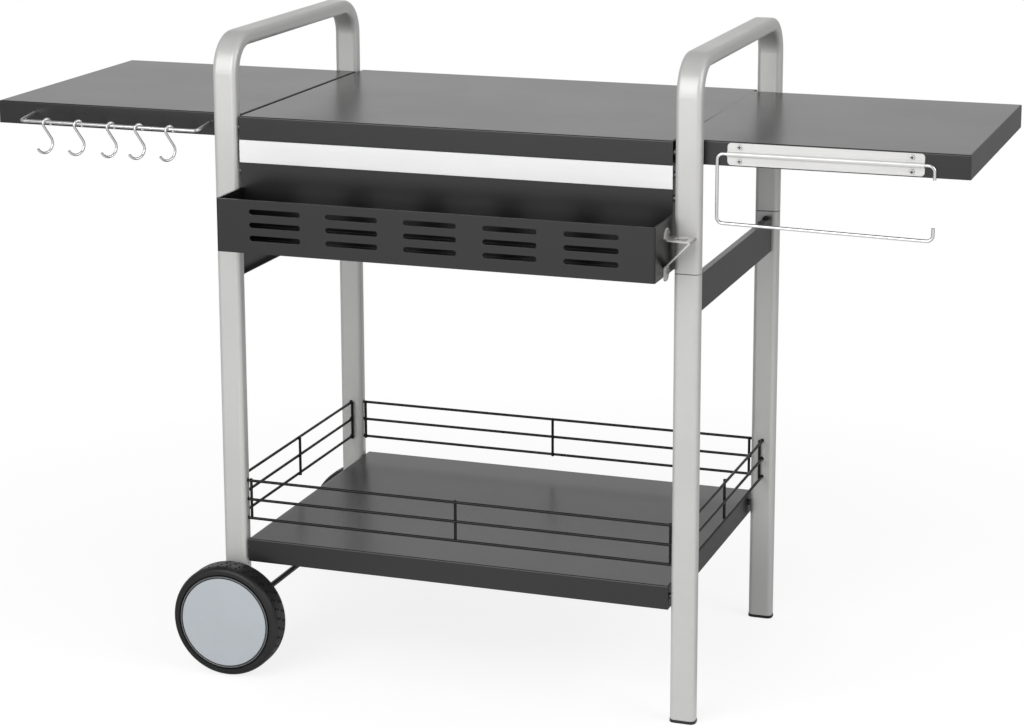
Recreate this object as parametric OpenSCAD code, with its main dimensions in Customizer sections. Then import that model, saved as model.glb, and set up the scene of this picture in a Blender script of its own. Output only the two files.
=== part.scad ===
// Grill cart with storage. Two bent tube frames with plug-in legs carry a centre
// table, two side tables, a slotted front basket under a bright trim strip, a
// railed lower shelf, a hook rail, a paper roll holder and one pair of wheels.
// X runs along the cart with the wheels at minus X, minus Y is the front, Z is up.
// The floor is at Z zero, and the origin is under the middle of the cart's outline.

/* [Overall] */
// Length over both side tables
overall_length = 1376; // [1300:2:1500]
// Depth over the outer faces of the legs
frame_depth = 450; // [400:5:520]
// Height of the table tops above the floor
table_height = 795; // [770:5:840]
// Height of the handles above the table tops
handle_rise = 111; // [85:1:165]
// Distance between the inner faces of the two tube frames
frame_gap = 620; // [560:5:680]

/* [Frame tubes] */
// Width of a frame tube, seen from the front
tube_width = 35; // [32:0.5:42]
// Depth of a frame tube, seen from the side
tube_depth = 20; // [18.5:0.5:26]
// Outer corner radius of a frame tube
tube_corner = 7; // [4:0.5:8]
// Wall of a frame tube
tube_wall = 1.5; // [1:0.1:2]
// Centre line radius of the two bends of a handle
handle_bend = 45; // [32:1:60]

/* [Leg joints] */
// Distance from the table tops down to the joints between the frames and the legs
joint_drop = 175; // [150:1:200]
// Open line between a frame and a leg
joint_gap = 1; // [0.4:0.1:1.5]
// Length of a spigot above the joint
spigot_rise = 60; // [40:5:80]
// Length of a spigot below the joint
spigot_drop = 32; // [22:1:35]
// Wall of a spigot
spigot_wall = 1.5; // [1:0.1:2]
// Play between a spigot and the tubes on it
spigot_play = 0.15; // [0.1:0.05:0.3]
// Distance of a wing screw below the joint
wing_drop = 12; // [9:0.5:14]
// Span of the two wings of a wing screw
wing_span = 20; // [16:0.5:20]
// Thickness of a wing
wing_thickness = 3; // [2:0.25:4]
// Distance that a wing stands out from the leg
wing_reach = 15; // [12:0.5:20]
// Diameter of the boss of a wing screw
wing_boss = 10; // [9:0.5:12]
// Distance that the boss stands out from the leg
wing_boss_reach = 8; // [6:0.5:11]
// Angle of the wings from level
wing_turn = 55; // [50:5:90]

/* [Side rails] */
// Height of a side rail
rail_height = 50; // [46:1:70]
// Distance from the joint down to a side rail
rail_drop = 8; // [5:0.5:10]
// Width of the flanges along a side rail
rail_flange = 9; // [7:0.5:14]
// Distance of a side rail's face from the outer face of the legs
rail_inset = 9; // [7:0.5:10]
// Sheet of a side rail
rail_sheet = 1.2; // [0.8:0.1:1.6]
// Width of the tab at each end of a side rail
rail_tab = 20; // [16:1:22]
// Height of the tab at each end of a side rail
rail_tab_height = 26; // [20:1:30]
// Length of the opening in the top flange at each wing screw
rail_notch = 26; // [22:1:40]

/* [Tables] */
// Height of the folded edge of the three tables
edge_height = 32; // [26:1:40]
// Sheet of the tables and the shelf
table_sheet = 1.5; // [1:0.1:2]
// Width of the lip turned in under each edge
table_lip = 12; // [8:1:18]
// Inner radius of the folds along the top edges of the tables and the shelf
table_fold = 0.5; // [0.3:0.1:3]
// Distance of the centre table's long edges behind the faces of the legs
table_setback = 3; // [0:0.5:3]
// Gap between each tube frame and what is bolted between the frames
body_gap = 3; // [1:0.5:3.5]
// Gap between the centre table and the left side table
left_seam = 4; // [3.5:0.5:6]
// Gap between the centre table and the right side table
right_seam = 0.3; // [0.3:0.1:3]
// Gap between the side tables and the legs beside them
side_gap = 1; // [0.5:0.1:2]
// Distance between the two bolts that link a side table to the centre table
link_spacing = 240; // [160:10:300]

/* [Front panel and trim] */
// Height of the bright trim strip
strip_height = 31; // [24:1:36]
// Open line between the table edge and the trim strip
strip_gap = 0.8; // [0.4:0.1:2]
// Sheet of the trim strip
strip_sheet = 1; // [0.6:0.1:1.5]
// Depth of the trim strip from the panel to its face
strip_depth = 2.5; // [2:0.1:3]
// Sheet of the front panel
panel_sheet = 1.2; // [0.8:0.1:1.6]
// Width of the flanges at the ends of the front panel
panel_flange = 15; // [13:0.5:16]
// Distance from the table edge down to the first bolt of the panel
panel_bolt_drop = 14; // [8:1:20]
// Distance between the two bolts at each end of the panel
panel_bolt_pitch = 31; // [20:1:50]

/* [Basket] */
// Distance from the table edge down to the rim of the basket
basket_drop = 67; // [50:1:80]
// Height of the basket
basket_height = 73; // [68:1:100]
// Depth of the basket in front of the panel
basket_depth = 81; // [70:1:110]
// Sheet of the basket
basket_sheet = 1.2; // [0.8:0.1:1.6]
// Radius of the basket's upright corners
basket_corner = 3; // [2:0.5:8]
// Height of the folded hem along the rim
hem_height = 7; // [4:0.5:8]
// Thickness of the folded hem along the rim
hem_thickness = 3; // [2:0.25:4]
// Height of the lip that is screwed to the panel
basket_lip = 20; // [16:1:30]
// Number of slot groups
slot_groups = 5; // [3:1:5]
// Number of slots in a group
slot_rows = 3; // [2:1:3]
// Height of a slot
slot_height = 7.5; // [5:0.5:10]
// Distance between two slot groups
slot_gap = 36.8; // [20:0.2:60]
// Distance from the corners of the basket to the first slots
slot_margin = 48.4; // [20:0.2:80]
// Distance between two slots of a group
slot_pitch = 18; // [14:0.5:20]
// Distance from the rim down to the first slot
slot_drop = 16; // [13:0.5:20]

/* [Bottle opener] */
// Width of the opener strip
opener_width = 22; // [18:1:24]
// Thickness of the opener strip
opener_sheet = 1.8; // [1.2:0.1:2.5]
// Distance that the opener stands out from the basket
opener_reach = 36; // [30:1:45]
// Height of the opener over both tabs
opener_height = 70; // [64:1:70]
// Height of the upper tab
opener_tab = 13; // [12:0.5:15]
// Height of the lower tab
opener_foot = 19; // [16:0.5:22]
// Fall of the opener plate towards its nose
opener_fall = 4; // [2:0.5:8]
// Distance from the rim of the basket down to the opener
opener_drop = 2.5; // [1:0.5:2.5]
// Distance from the panel forward to the middle of the opener
opener_place = 28; // [24:1:50]
// Length of the hole in the opener plate
opener_hole_length = 15; // [10:0.5:16]
// Width of the hole in the opener plate
opener_hole_width = 12; // [8:0.5:13]

/* [Lower shelf] */
// Height of the lower shelf above the floor
shelf_height = 192; // [150:2:260]
// Height of the folded edge of the lower shelf
shelf_edge = 33; // [26:1:40]
// Distance of the shelf's long edges behind the faces of the legs
shelf_setback = 0.5; // [0:0.5:3]

/* [Guards] */
// Diameter of the guard wires
guard_wire = 4; // [3:0.25:5]
// Distance from the shelf up to the lowest guard wire
guard_rise = 27.5; // [20:0.5:40]
// Distance between two guard wires
guard_pitch = 27.5; // [20:0.5:36]
// Number of wires in a guard
guard_rows = 3; // [2:1:4]
// Distance of the end uprights of a guard from the leg
guard_end = 3.8; // [3:0.2:14]
// Play of the guard wires in the holes of the legs
guard_play = 0.9; // [0.3:0.1:1.2]
// Depth that a guard wire reaches into the leg
guard_plug = 6; // [4:0.5:7]

/* [Wheels] */
// Diameter of a wheel
wheel_diameter = 160; // [150:2:180]
// Width of a tyre
tyre_width = 40; // [38:1:50]
// Width of the round shoulders of a tyre
shoulder_width = 11; // [6:0.5:14]
// Fall of the round shoulders of a tyre
shoulder_drop = 6.5; // [3:0.5:8]
// Diameter of a hubcap
hubcap_diameter = 128; // [116:1:130]
// Width of the rim's lip around the hubcap
rim_lip = 3.2; // [2:0.2:4]
// Width of the groove between the rim's lip and the tyre
lip_groove = 2.2; // [1:0.2:2.6]
// Diameter of the hub
hub_diameter = 24; // [20:1:30]
// Length of the hub
hub_length = 24; // [18:1:25]
// Wall of the rim, its web and its ribs
rim_wall = 3; // [2:0.25:4]
// Number of ribs between hub and rim
rim_ribs = 6; // [4:1:8]
// Number of zigzag cuts around each half of a tyre
tread_cuts = 36; // [20:1:38]
// Width of a zigzag cut, measured around the tyre
tread_width = 2.2; // [1.4:0.1:3]
// Depth of a zigzag cut
tread_depth = 2; // [1:0.1:2.5]
// Swing of a zigzag cut to each side
tread_swing = 2.4; // [1:0.1:3]
// Distance of the zigzag cuts from the sides of the tyre
tread_inset = 7; // [5:0.5:12]
// Diameter of the axle
axle_diameter = 8; // [6:0.5:10]
// Running play of the hub around the axle
axle_play = 0.05; // [0.02:0.01:0.08]
// Length of the spacer between a leg and its wheel
axle_spacer = 3; // [2:0.5:8]
// Free length of a wheel along the axle, at each side
wheel_float = 0.3; // [0.2:0.05:0.5]
// Length of the left legs below the axle
leg_tail = 30; // [24:1:40]

/* [Hook rail] */
// Diameter of the hook rail's rod
hook_rod = 4.5; // [4:0.25:5]
// Distance of the rod from the table edge
hook_rail_reach = 42; // [36:1:60]
// Fall of the rod below its fixings
hook_rail_fall = 5; // [0:0.5:8]
// Centre line radius of the rail's two bends
hook_rail_bend = 7; // [5:0.5:12]
// Distance from the table's outer end to the rail
hook_rail_end = 56; // [30:1:80]
// Distance from the leg to the rail
hook_rail_clear = 15; // [8:1:40]
// Distance of the rail's fixings below the table top
hook_rail_drop = 14.5; // [11:0.5:17]
// Across flats of the rail's nuts
rail_nut_flats = 8; // [7:0.5:9]
// Height of the rail's nuts
rail_nut_height = 4; // [3:0.5:5]

/* [Hooks] */
// Diameter of the hook wire
hook_wire = 3.6; // [3:0.2:3.8]
// Height of a hook
hook_height = 51; // [48:1:70]
// Centre line radius of a hook's upper bend
hook_top_radius = 6.2; // [6.2:0.1:8]
// Centre line radius of a hook's lower bend
hook_bottom_radius = 12.7; // [10:0.1:13]
// Distance of the lower bend's middle in front of the upper one's
hook_offset = 4.2; // [3:0.1:5]
// Free distance between the rod and a hook on it
hook_play = 0.3; // [0.2:0.05:0.5]

/* [Roll holder] */
// Height of the roll holder's plate
roll_plate_height = 29; // [26:0.5:30]
// Sheet of the roll holder's plate
roll_plate_sheet = 1.2; // [0.8:0.1:1.6]
// Corner radius of the roll holder's plate
roll_plate_corner = 5; // [2:0.5:8]
// Distance from the table's outer end to the plate
roll_plate_end = 58; // [40:1:90]
// Distance from the leg to the plate
roll_plate_clear = 30; // [24:1:60]
// Distance from the ends of the plate to its screws
roll_screw_inset = 16; // [12:1:30]
// Distance between the plate's screws across the plate
roll_screw_pitch = 18.5; // [17:0.5:20]
// Diameter of the roll holder's wire
roll_wire_size = 4.5; // [3.5:0.25:5]
// Play of the wire in the plate's bead
bead_play = 0.08; // [0.05:0.01:0.1]
// Gap between the wire and the table edge
wire_gap = 0.3; // [0.2:0.05:0.5]
// Distance that the wire stands out past each end of the plate
wire_overhang = 13; // [11:0.5:20]
// Centre line radius of the wire's bends
wire_bend = 8; // [6:0.5:11]
// Drop of the wire from its pivot to the roll bar
roll_drop = 91; // [70:1:120]
// Sag of the roll bar at its free end
roll_sag = 6; // [0:0.5:8]
// Length of the turned down end of the pivot bar
pivot_end = 18; // [12:1:30]
// Length of the turned up end of the roll bar
roll_bar_end = 17; // [14:1:30]

/* [Fasteners] */
// Diameter of the frame bolts
bolt_size = 5; // [4:0.5:6]
// Diameter of a bolt head
bolt_head = 9; // [8:0.5:10]
// Height of a bolt head
bolt_head_height = 3.2; // [2.5:0.1:4]
// Length that a bolt reaches into a leg
bolt_reach = 9; // [6:0.5:10]
// Play of a bolt in its hole
bolt_play = 0.2; // [0.1:0.05:0.3]
// Across flats of a bolt's nut
nut_flats = 8; // [7.5:0.5:10]
// Height of a bolt's nut
nut_height = 4; // [3:0.5:5]
// Diameter of the wing screws
wing_screw_size = 6; // [5:0.5:6.5]
// Diameter of the small screws
screw_size = 3.5; // [3:0.25:4]
// Diameter of a small screw's head
screw_head = 7; // [6:0.25:7.5]
// Height of a small screw's head
screw_head_height = 2; // [1.5:0.1:2.5]
// Width of the slots across a small screw's head
screw_slot = 1; // [0.6:0.1:1.2]
// Length of a small screw
screw_length = 9; // [7:0.5:12]

/* [Hidden] */
$fn = 48;

// Overrun of every cut past the face that it opens
cut = 1;
// Lap of a straight wire into its bends, and what it is thinner than them
wire_lap = 0.1;
wire_ease = 0.01;
// Visible height of a cap under a leg, its plug, its margin round the tube and its
// play inside it
cap_height = 4;
cap_plug = 18;
cap_margin = 0.6;
cap_play = 0.2;
// Wall of a plug, and the depth of its hollow
plug_wall = 2;
// Lap of the rim's web and ribs into the hub
hub_lap = 1;
// Distance of a guard wire from the lower edge of its hole
guard_seat = 0.1;
// Distance of a side rail's tab from the leg
tab_play = 0.2;
// Distance from the lower edge of a side rail up to its screw
rail_screw_rise = 9;
// Upper flange of the front panel, and its gap under the table edge
panel_top_flange = 12;
panel_top_gap = 0.5;
// Screws of the basket's lip: distance above the floor of the basket, and their
// places as shares of the basket's half length
basket_screw_rise = 12;
basket_screw_place_shares = [-0.78, -0.27, 0.27, 0.78];
// Places of the hooks along the rail and the turn of each about the upright
hook_place_shares = [0.155, 0.335, 0.52, 0.678, 0.85];
hook_turns = [61, 57, 60, 57, 59];
// Angles past level of a hook's upper tip and past the bottom of its lower tip
hook_tip_angle = 25;
hook_lower_angle = 62;
// Place of the rim's web as a share of the tyre's width, and the rim's flanges
web_place_share = 0.38;
rim_flange = 1.5;
rim_flange_rise = 2.3;
// Recess of the hubcap in the rim, its snap skirt and what it stands out
hubcap_recess = 3;
hubcap_skirt = 8;
hubcap_skirt_inset = 5;
hubcap_skirt_wall = 1.6;
hubcap_stand = 0.8;
hubcap_chamfer = 0.6;
// Nuts on the axle and the stretch of the axle past them
axle_nut_flats = 13;
axle_nut_height = 6.5;
axle_tail = 2;
// Band between the two rows of zigzag cuts, and steps of a round shoulder
tread_band = 3;
shoulder_steps = 6;
// Shares: cross slots of a small screw's head, offset of a guard's uprights from
// its wires, and place of the hole along the opener's plate
screw_slot_share = 0.6;
upright_share = 0.75;
opener_hole_share = 0.55;

// Levels of the handles and the joints, and middles of the tubes
handle_height = table_height + handle_rise;
joint_height = table_height - joint_drop;
leg_x = frame_gap / 2 + tube_width / 2;
leg_y = frame_depth / 2 - tube_depth / 2;
inner_y = frame_depth / 2 - tube_depth;
// Half length of all that is bolted between the frames
body_x = frame_gap / 2 - body_gap;
// Undersides of the table edges, and the levels of the bolts
edge_z = table_height - edge_height;
table_bolt_z = table_height - edge_height / 2;
shelf_bolt_z = shelf_height - shelf_edge / 2;
panel_bolt_zs = [edge_z - panel_bolt_drop, edge_z - panel_bolt_drop - panel_bolt_pitch];
guard_zs = [for (i = [0 : guard_rows - 1]) shelf_height + guard_rise + i * guard_pitch];
// Outer radius of the folds, and depths of the tables and the shelf
table_radius = table_fold + table_sheet;
table_depth = frame_depth - 2 * table_setback;
side_table_depth = 2 * (inner_y - side_gap);
side_edge_y = -side_table_depth / 2;
shelf_depth = frame_depth - 2 * shelf_setback;
// Ends of the side tables, and their free length outside the legs
outer_x = overall_length / 2;
free_length = outer_x - leg_x - tube_width / 2;
left_inner_x = body_x + left_seam;
right_inner_x = body_x + right_seam;
// Face of the front panel, its bolts and the basket on it
panel_y = -table_depth / 2 + strip_depth;
panel_bolt_y = panel_y + panel_sheet + bolt_head / 2 + bolt_play;
basket_top = edge_z - basket_drop;
basket_base = basket_top - basket_height;
basket_front = panel_y - basket_depth;
slot_run = 2 * (body_x - slot_margin) - (slot_groups - 1) * slot_gap;
slot_length = slot_run / slot_groups;
slot_group_pitch = slot_length + slot_gap;
// Side rails and wing screws
rail_face = leg_x + tube_width / 2 - rail_inset;
rail_top = joint_height - rail_drop;
rail_base = rail_top - rail_height;
rail_screw_z = rail_base + rail_screw_rise;
wing_z = joint_height - wing_drop;
// Wheels
wheel_radius = wheel_diameter / 2;
hub_start = axle_spacer + wheel_float;
nut_start = hub_start + hub_length + wheel_float;
tyre_end = hub_start + tyre_width;
seat_start = tyre_end - hubcap_recess;
flange_start = seat_start - rim_flange;
wheel_reach = frame_depth / 2 + tyre_end + hubcap_stand;
seat_radius = hubcap_diameter / 2;
lip_radius = seat_radius + rim_lip;
bead_radius_out = lip_radius + lip_groove;
barrel_radius = seat_radius - rim_wall;
// Rod of the hook rail
hook_tilt = asin(hook_rail_fall / hook_rail_reach);
hook_rod_y = side_edge_y - hook_rail_reach * cos(hook_tilt);
hook_rod_z = table_height - hook_rail_drop - hook_rail_fall;
hook_rail_start = -outer_x + hook_rail_end;
hook_rail_length = free_length - hook_rail_end - hook_rail_clear;
// Shape of a hook: the straight stretch is the inner tangent of both bends
hook_fall = hook_height - hook_top_radius - hook_bottom_radius - hook_wire;
hook_bends = hook_top_radius + hook_bottom_radius;
hook_run = sqrt(pow(hook_offset, 2) + pow(hook_fall, 2) - pow(hook_bends, 2));
hook_lean = atan2(hook_bends, hook_run) - asin(hook_offset / norm([hook_bends, hook_run]));
hook_rise = hook_top_radius - hook_rod / 2 - hook_play - hook_wire / 2;
// Roll holder: middle of the plate, level of the pivot and distance of the wire
roll_plate_length = free_length - roll_plate_end - roll_plate_clear;
roll_screw_spacing = roll_plate_length - 2 * roll_screw_inset;
roll_x = outer_x - roll_plate_end - roll_plate_length / 2;
roll_z = table_bolt_z;
wire_radius = roll_wire_size / 2;
wire_y = side_edge_y - wire_gap - wire_radius;
bead_radius = wire_radius + bead_play;
roll_span = roll_plate_length + 2 * wire_overhang;
roll_tilt = asin(roll_sag / roll_span);
// Shift that brings the middle of the outline over the origin
centre_shift = (-basket_front - wheel_reach) / 2;

// Moves a piece from the middle of the frame to the middle of the outline
module placed() {
    translate([0, centre_shift, 0]) children();
}

// Puts a piece on the left with side -1 and on the right with side 1
module at_side(side) {
    mirror([side < 0 ? 1 : 0, 0, 0]) children();
}

// Puts a piece at the front with end -1 and at the rear with end 1
module at_end(end) {
    mirror([0, end < 0 ? 1 : 0, 0]) children();
}

// Round bar along X or along Y, from one place to another
module bar_x(from, to, radius) {
    translate([from, 0, 0]) rotate([0, 90, 0]) cylinder(h = to - from, r = radius);
}
module bar_y(from, to, radius) {
    translate([0, from, 0]) rotate([-90, 0, 0]) cylinder(h = to - from, r = radius);
}

// Rectangle with round corners
module round_rect(width, depth, radius) {
    square([width - 2 * radius, depth], center = true);
    square([width, depth - 2 * radius], center = true);
    for (x = [-1, 1], y = [-1, 1]) {
        translate([x * (width / 2 - radius), y * (depth / 2 - radius)]) circle(radius);
    }
}

// Section of a frame tube, or of one that fits inside it
module tube_section(width, depth, radius, wall) {
    difference() {
        round_rect(width, depth, radius);
        round_rect(width - 2 * wall, depth - 2 * wall, radius - wall);
    }
}

module frame_section(width, depth) {
    tube_section(width, depth, tube_corner, tube_wall);
}

// Bent wire: each run is a length, the turn after it and the radius of that turn.
// A straight run is a hair thinner than the bends, and laps a little into them.
module wire_runs(runs, radius, i = 0) {
    turn = runs[i][1];
    bend = runs[i][2];
    sense = turn < 0 ? -1 : 1;
    if (runs[i][0] > 0) {
        translate([0, 0, -wire_lap]) cylinder(h = runs[i][0] + 2 * wire_lap, r = radius - wire_ease);
    }
    translate([0, 0, runs[i][0]]) {
        if (turn != 0) {
            mirror([turn < 0 ? 1 : 0, 0, 0]) translate([bend, 0, 0]) rotate([90, 0, 0])
                rotate([0, 0, 180 - abs(turn)]) rotate_extrude(angle = abs(turn))
                translate([bend, 0]) circle(radius);
        }
        if (i < len(runs) - 1) {
            translate([sense * bend, 0, 0]) rotate([0, turn, 0]) translate([-sense * bend, 0, 0])
                wire_runs(runs, radius, i + 1);
        }
    }
}

// Bolt with its head below Z zero and its shank above
module bolt(length) {
    translate([0, 0, -bolt_head_height]) cylinder(h = bolt_head_height, d = bolt_head);
    cylinder(h = length, d = bolt_size);
}

// Nut from Z zero upwards
module nut(flats, height, bore) {
    difference() {
        cylinder(h = height, r = flats / 2 / cos(30), $fn = 6);
        translate([0, 0, -cut]) cylinder(h = height + 2 * cut, r = bore);
    }
}

// Small screw with a cross in its head, which lies below Z zero
module small_screw() {
    difference() {
        translate([0, 0, -screw_head_height]) cylinder(h = screw_head_height, d = screw_head);
        for (turn = [0, 90]) {
            rotate([0, 0, turn]) translate([0, 0, -screw_head_height])
                cube([screw_head * screw_slot_share, screw_slot, screw_head_height], center = true);
        }
    }
    cylinder(h = screw_length, d = screw_size);
}

// Bent frame of a handle and two upper legs, standing in the YZ plane
module upper_frame() {
    lower_z = joint_height + joint_gap;
    bend_z = handle_height - tube_depth / 2 - handle_bend;
    for (end = [-1, 1]) {
        at_end(end) {
            translate([0, leg_y, lower_z]) linear_extrude(bend_z - lower_z)
                frame_section(tube_width, tube_depth);
            translate([0, leg_y - handle_bend, bend_z]) rotate([90, 0, 90])
                rotate_extrude(angle = 90) translate([handle_bend, 0])
                frame_section(tube_depth, tube_width);
        }
    }
    translate([0, 0, handle_height - tube_depth / 2]) rotate([90, 0, 0])
        linear_extrude(2 * (leg_y - handle_bend), center = true)
        frame_section(tube_width, tube_depth);
}

// Holes of the bolts in one upper frame, whose inner face looks towards minus X
module upper_frame_holes() {
    hole = bolt_size / 2 + bolt_play;
    for (end = [-1, 1]) {
        translate([0, end * leg_y, table_bolt_z])
            bar_x(-tube_width / 2 - cut, -tube_width / 2 + tube_wall + cut, hole);
        at_end(end) translate([0, 0, table_bolt_z])
            bar_y(inner_y - cut, inner_y + tube_wall + cut, hole);
    }
    for (z = panel_bolt_zs) {
        translate([0, panel_bolt_y, z])
            bar_x(-tube_width / 2 - cut, -tube_width / 2 + tube_wall + cut, hole);
    }
}

module upper_frame_at(side) {
    placed() at_side(side) translate([leg_x, 0, 0]) difference() {
        upper_frame();
        upper_frame_holes();
    }
}

module upper_frame_left() {
    color("#c3c4c6") upper_frame_at(-1);
}

module upper_frame_right() {
    color("#c3c4c6") upper_frame_at(1);
}

// Plug-in leg: wheel legs end under the axle, the others in a foot cap
module leg(side, end) {
    base = side < 0 ? wheel_radius - leg_tail : cap_height;
    placed() at_side(side) at_end(end) translate([leg_x, leg_y, 0]) difference() {
        translate([0, 0, base]) linear_extrude(joint_height - base)
            frame_section(tube_width, tube_depth);
        translate([0, 0, wing_z])
            bar_y(-tube_depth / 2 - cut, -tube_depth / 2 + tube_wall + cut, wing_screw_size / 2 + bolt_play);
        translate([0, 0, rail_screw_z])
            bar_y(-tube_depth / 2 - cut, -tube_depth / 2 + tube_wall + cut, bolt_size / 2 + bolt_play);
        translate([0, 0, shelf_bolt_z])
            bar_x(-tube_width / 2 - cut, -tube_width / 2 + tube_wall + cut, bolt_size / 2 + bolt_play);
        for (z = guard_zs) {
            translate([0, 0, z + guard_play - guard_seat]) {
                bar_x(-tube_width / 2 - cut, -tube_width / 2 + tube_wall + cut, guard_wire / 2 + guard_play);
                bar_y(-tube_depth / 2 - cut, -tube_depth / 2 + tube_wall + cut, guard_wire / 2 + guard_play);
            }
        }
        if (side < 0) {
            translate([0, 0, wheel_radius])
                bar_y(-tube_depth / 2 - cut, tube_depth / 2 + cut, axle_diameter / 2 + bolt_play);
        }
    }
}

module leg_front_left() {
    color("#c3c4c6") leg(-1, -1);
}

module leg_rear_left() {
    color("#c3c4c6") leg(-1, 1);
}

module leg_front_right() {
    color("#c3c4c6") leg(1, -1);
}

module leg_rear_right() {
    color("#c3c4c6") leg(1, 1);
}

// Repeats a piece of one leg at all four legs, with the leg's middle at X and Y zero
module at_legs(sides = [-1, 1], ends = [-1, 1]) {
    placed() for (side = sides, end = ends) {
        at_side(side) at_end(end) translate([leg_x, leg_y, 0]) children();
    }
}

// Inner tubes that join the frames to the legs
module joint_spigots() {
    width = tube_width - 2 * tube_wall - 2 * spigot_play;
    depth = tube_depth - 2 * tube_wall - 2 * spigot_play;
    color("#8d9093") at_legs() difference() {
        translate([0, 0, joint_height - spigot_drop]) linear_extrude(spigot_drop + spigot_rise)
            tube_section(width, depth, tube_corner - tube_wall - spigot_play, spigot_wall);
        translate([0, 0, wing_z])
            bar_y(-depth / 2 - cut, -depth / 2 + spigot_wall + cut, wing_screw_size / 2 + bolt_play);
    }
}

// Inner face of a spigot, where the nut of its wing screw sits
spigot_face = -tube_depth / 2 + tube_wall + spigot_play + spigot_wall;

module wing_screws() {
    face = -tube_depth / 2;
    color("#1b1b1c") at_legs() translate([0, 0, wing_z]) {
        bar_y(face - wing_boss_reach, face, wing_boss / 2);
        bar_y(face - wing_boss_reach, spigot_face + nut_height + wing_screw_size / 2, wing_screw_size / 2);
        translate([0, face - wing_boss_reach / 2, 0]) rotate([90, 90 - wing_turn, 0])
            linear_extrude(wing_reach - wing_boss_reach / 2)
            round_rect(wing_thickness, wing_span, wing_thickness / 3);
    }
}

module wing_nuts() {
    color("#9da0a3") at_legs() translate([0, spigot_face, wing_z]) rotate([-90, 0, 0])
        nut(nut_flats + wing_screw_size - bolt_size, nut_height, wing_screw_size / 2 + spigot_play);
}

// Cap under a leg with a hollow plug in the tube; its sole is at Z zero
module leg_cap() {
    inner = tube_wall + cap_play;
    radius = tube_corner - inner;
    linear_extrude(cap_height)
        round_rect(tube_width + 2 * cap_margin, tube_depth + 2 * cap_margin, tube_corner + cap_margin);
    difference() {
        translate([0, 0, cap_height / 2]) linear_extrude(cap_plug + cap_height / 2)
            round_rect(tube_width - 2 * inner, tube_depth - 2 * inner, radius);
        translate([0, 0, cap_height]) linear_extrude(cap_plug + cut)
            round_rect(tube_width - 2 * inner - 2 * plug_wall, tube_depth - 2 * inner - 2 * plug_wall,
                radius - plug_wall);
    }
}

module foot_caps() {
    color("#1d1d1e") at_legs(sides = [1]) leg_cap();
}

module leg_plugs() {
    color("#1d1d1e") at_legs(sides = [-1]) translate([0, 0, wheel_radius - leg_tail - cap_height])
        leg_cap();
}

// Folded side rail: upright face, two flanges and a tab at each leg
module side_rail() {
    run = 2 * (inner_y - tab_play);
    tab_x = rail_face - rail_tab;
    difference() {
        union() {
            translate([rail_face - rail_sheet, -run / 2, rail_base]) cube([rail_sheet, run, rail_height]);
            translate([rail_face - rail_flange, -run / 2, rail_base])
                cube([rail_flange, run, rail_sheet]);
            translate([rail_face - rail_flange, -run / 2 + rail_notch, rail_top - rail_sheet])
                cube([rail_flange, run - 2 * rail_notch, rail_sheet]);
            for (end = [-1, 1]) {
                at_end(end) translate([tab_x, run / 2 - rail_sheet, rail_base])
                    cube([rail_tab, rail_sheet, rail_tab_height]);
            }
        }
        for (end = [-1, 1]) {
            at_end(end) translate([leg_x, 0, rail_screw_z])
                bar_y(inner_y - tab_play - rail_sheet - cut, inner_y, bolt_size / 2 + bolt_play);
        }
    }
}

module side_rail_left() {
    color("#3f4143") placed() at_side(-1) side_rail();
}

module side_rail_right() {
    color("#3f4143") placed() side_rail();
}

module rail_screws() {
    color("#26282a") at_legs() translate([0, -tube_depth / 2 - tab_play - rail_sheet, rail_screw_z])
        rotate([-90, 0, 0]) bolt(bolt_reach);
}

// Block with its long top edges rounded, hanging from Z zero
module rounded_top(width, height, radius) {
    translate([-width / 2, -height]) square([width, height - radius]);
    translate([-width / 2 + radius, -height]) square([width - 2 * radius, height]);
    for (x = [-1, 1]) {
        translate([x * (width / 2 - radius), -radius]) circle(radius);
    }
}

module tray_block(length, depth, height, radius) {
    intersection() {
        rotate([90, 0, 0]) linear_extrude(depth, center = true) rounded_top(length, height, radius);
        rotate([90, 0, 90]) linear_extrude(length, center = true) rounded_top(depth, height, radius);
    }
}

// Folded tray upside down: a top, four edges and a lip turned in under them
module tray(length, depth, height) {
    difference() {
        tray_block(length, depth, height, table_radius);
        translate([0, 0, -table_sheet])
            tray_block(length - 2 * table_sheet, depth - 2 * table_sheet, height, table_fold);
    }
    translate([0, 0, -height]) linear_extrude(table_sheet) difference() {
        square([length - table_sheet, depth - table_sheet], center = true);
        square([length - 2 * table_lip, depth - 2 * table_lip], center = true);
    }
}

// Holes through both ends of a tray between the frames, at the height of a bolt
module end_holes(z) {
    for (side = [-1, 1], end = [-1, 1]) {
        at_side(side) translate([0, end * leg_y, z])
            bar_x(body_x - table_sheet - cut, body_x + cut, bolt_size / 2 + bolt_play);
    }
}

module centre_table() {
    color("#4a4b4d") placed() difference() {
        translate([0, 0, table_height]) tray(2 * body_x, table_depth, edge_height);
        end_holes(table_bolt_z);
        for (side = [-1, 1], end = [-1, 1]) {
            at_side(side) translate([0, end * link_spacing / 2, table_bolt_z])
                bar_x(body_x - table_sheet - cut, body_x + cut, bolt_size / 2 + bolt_play);
        }
    }
}

// Side table on the right, with its bolt holes
module side_table(inner_x) {
    difference() {
        translate([(inner_x + outer_x) / 2, 0, table_height])
            tray(outer_x - inner_x, side_table_depth, edge_height);
        for (end = [-1, 1]) {
            at_end(end) translate([leg_x, 0, table_bolt_z])
                bar_y(side_table_depth / 2 - table_sheet - cut, side_table_depth / 2 + cut,
                    bolt_size / 2 + bolt_play);
            translate([0, end * link_spacing / 2, table_bolt_z])
                bar_x(inner_x - cut, inner_x + table_sheet + cut, bolt_size / 2 + bolt_play);
        }
    }
}

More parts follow.
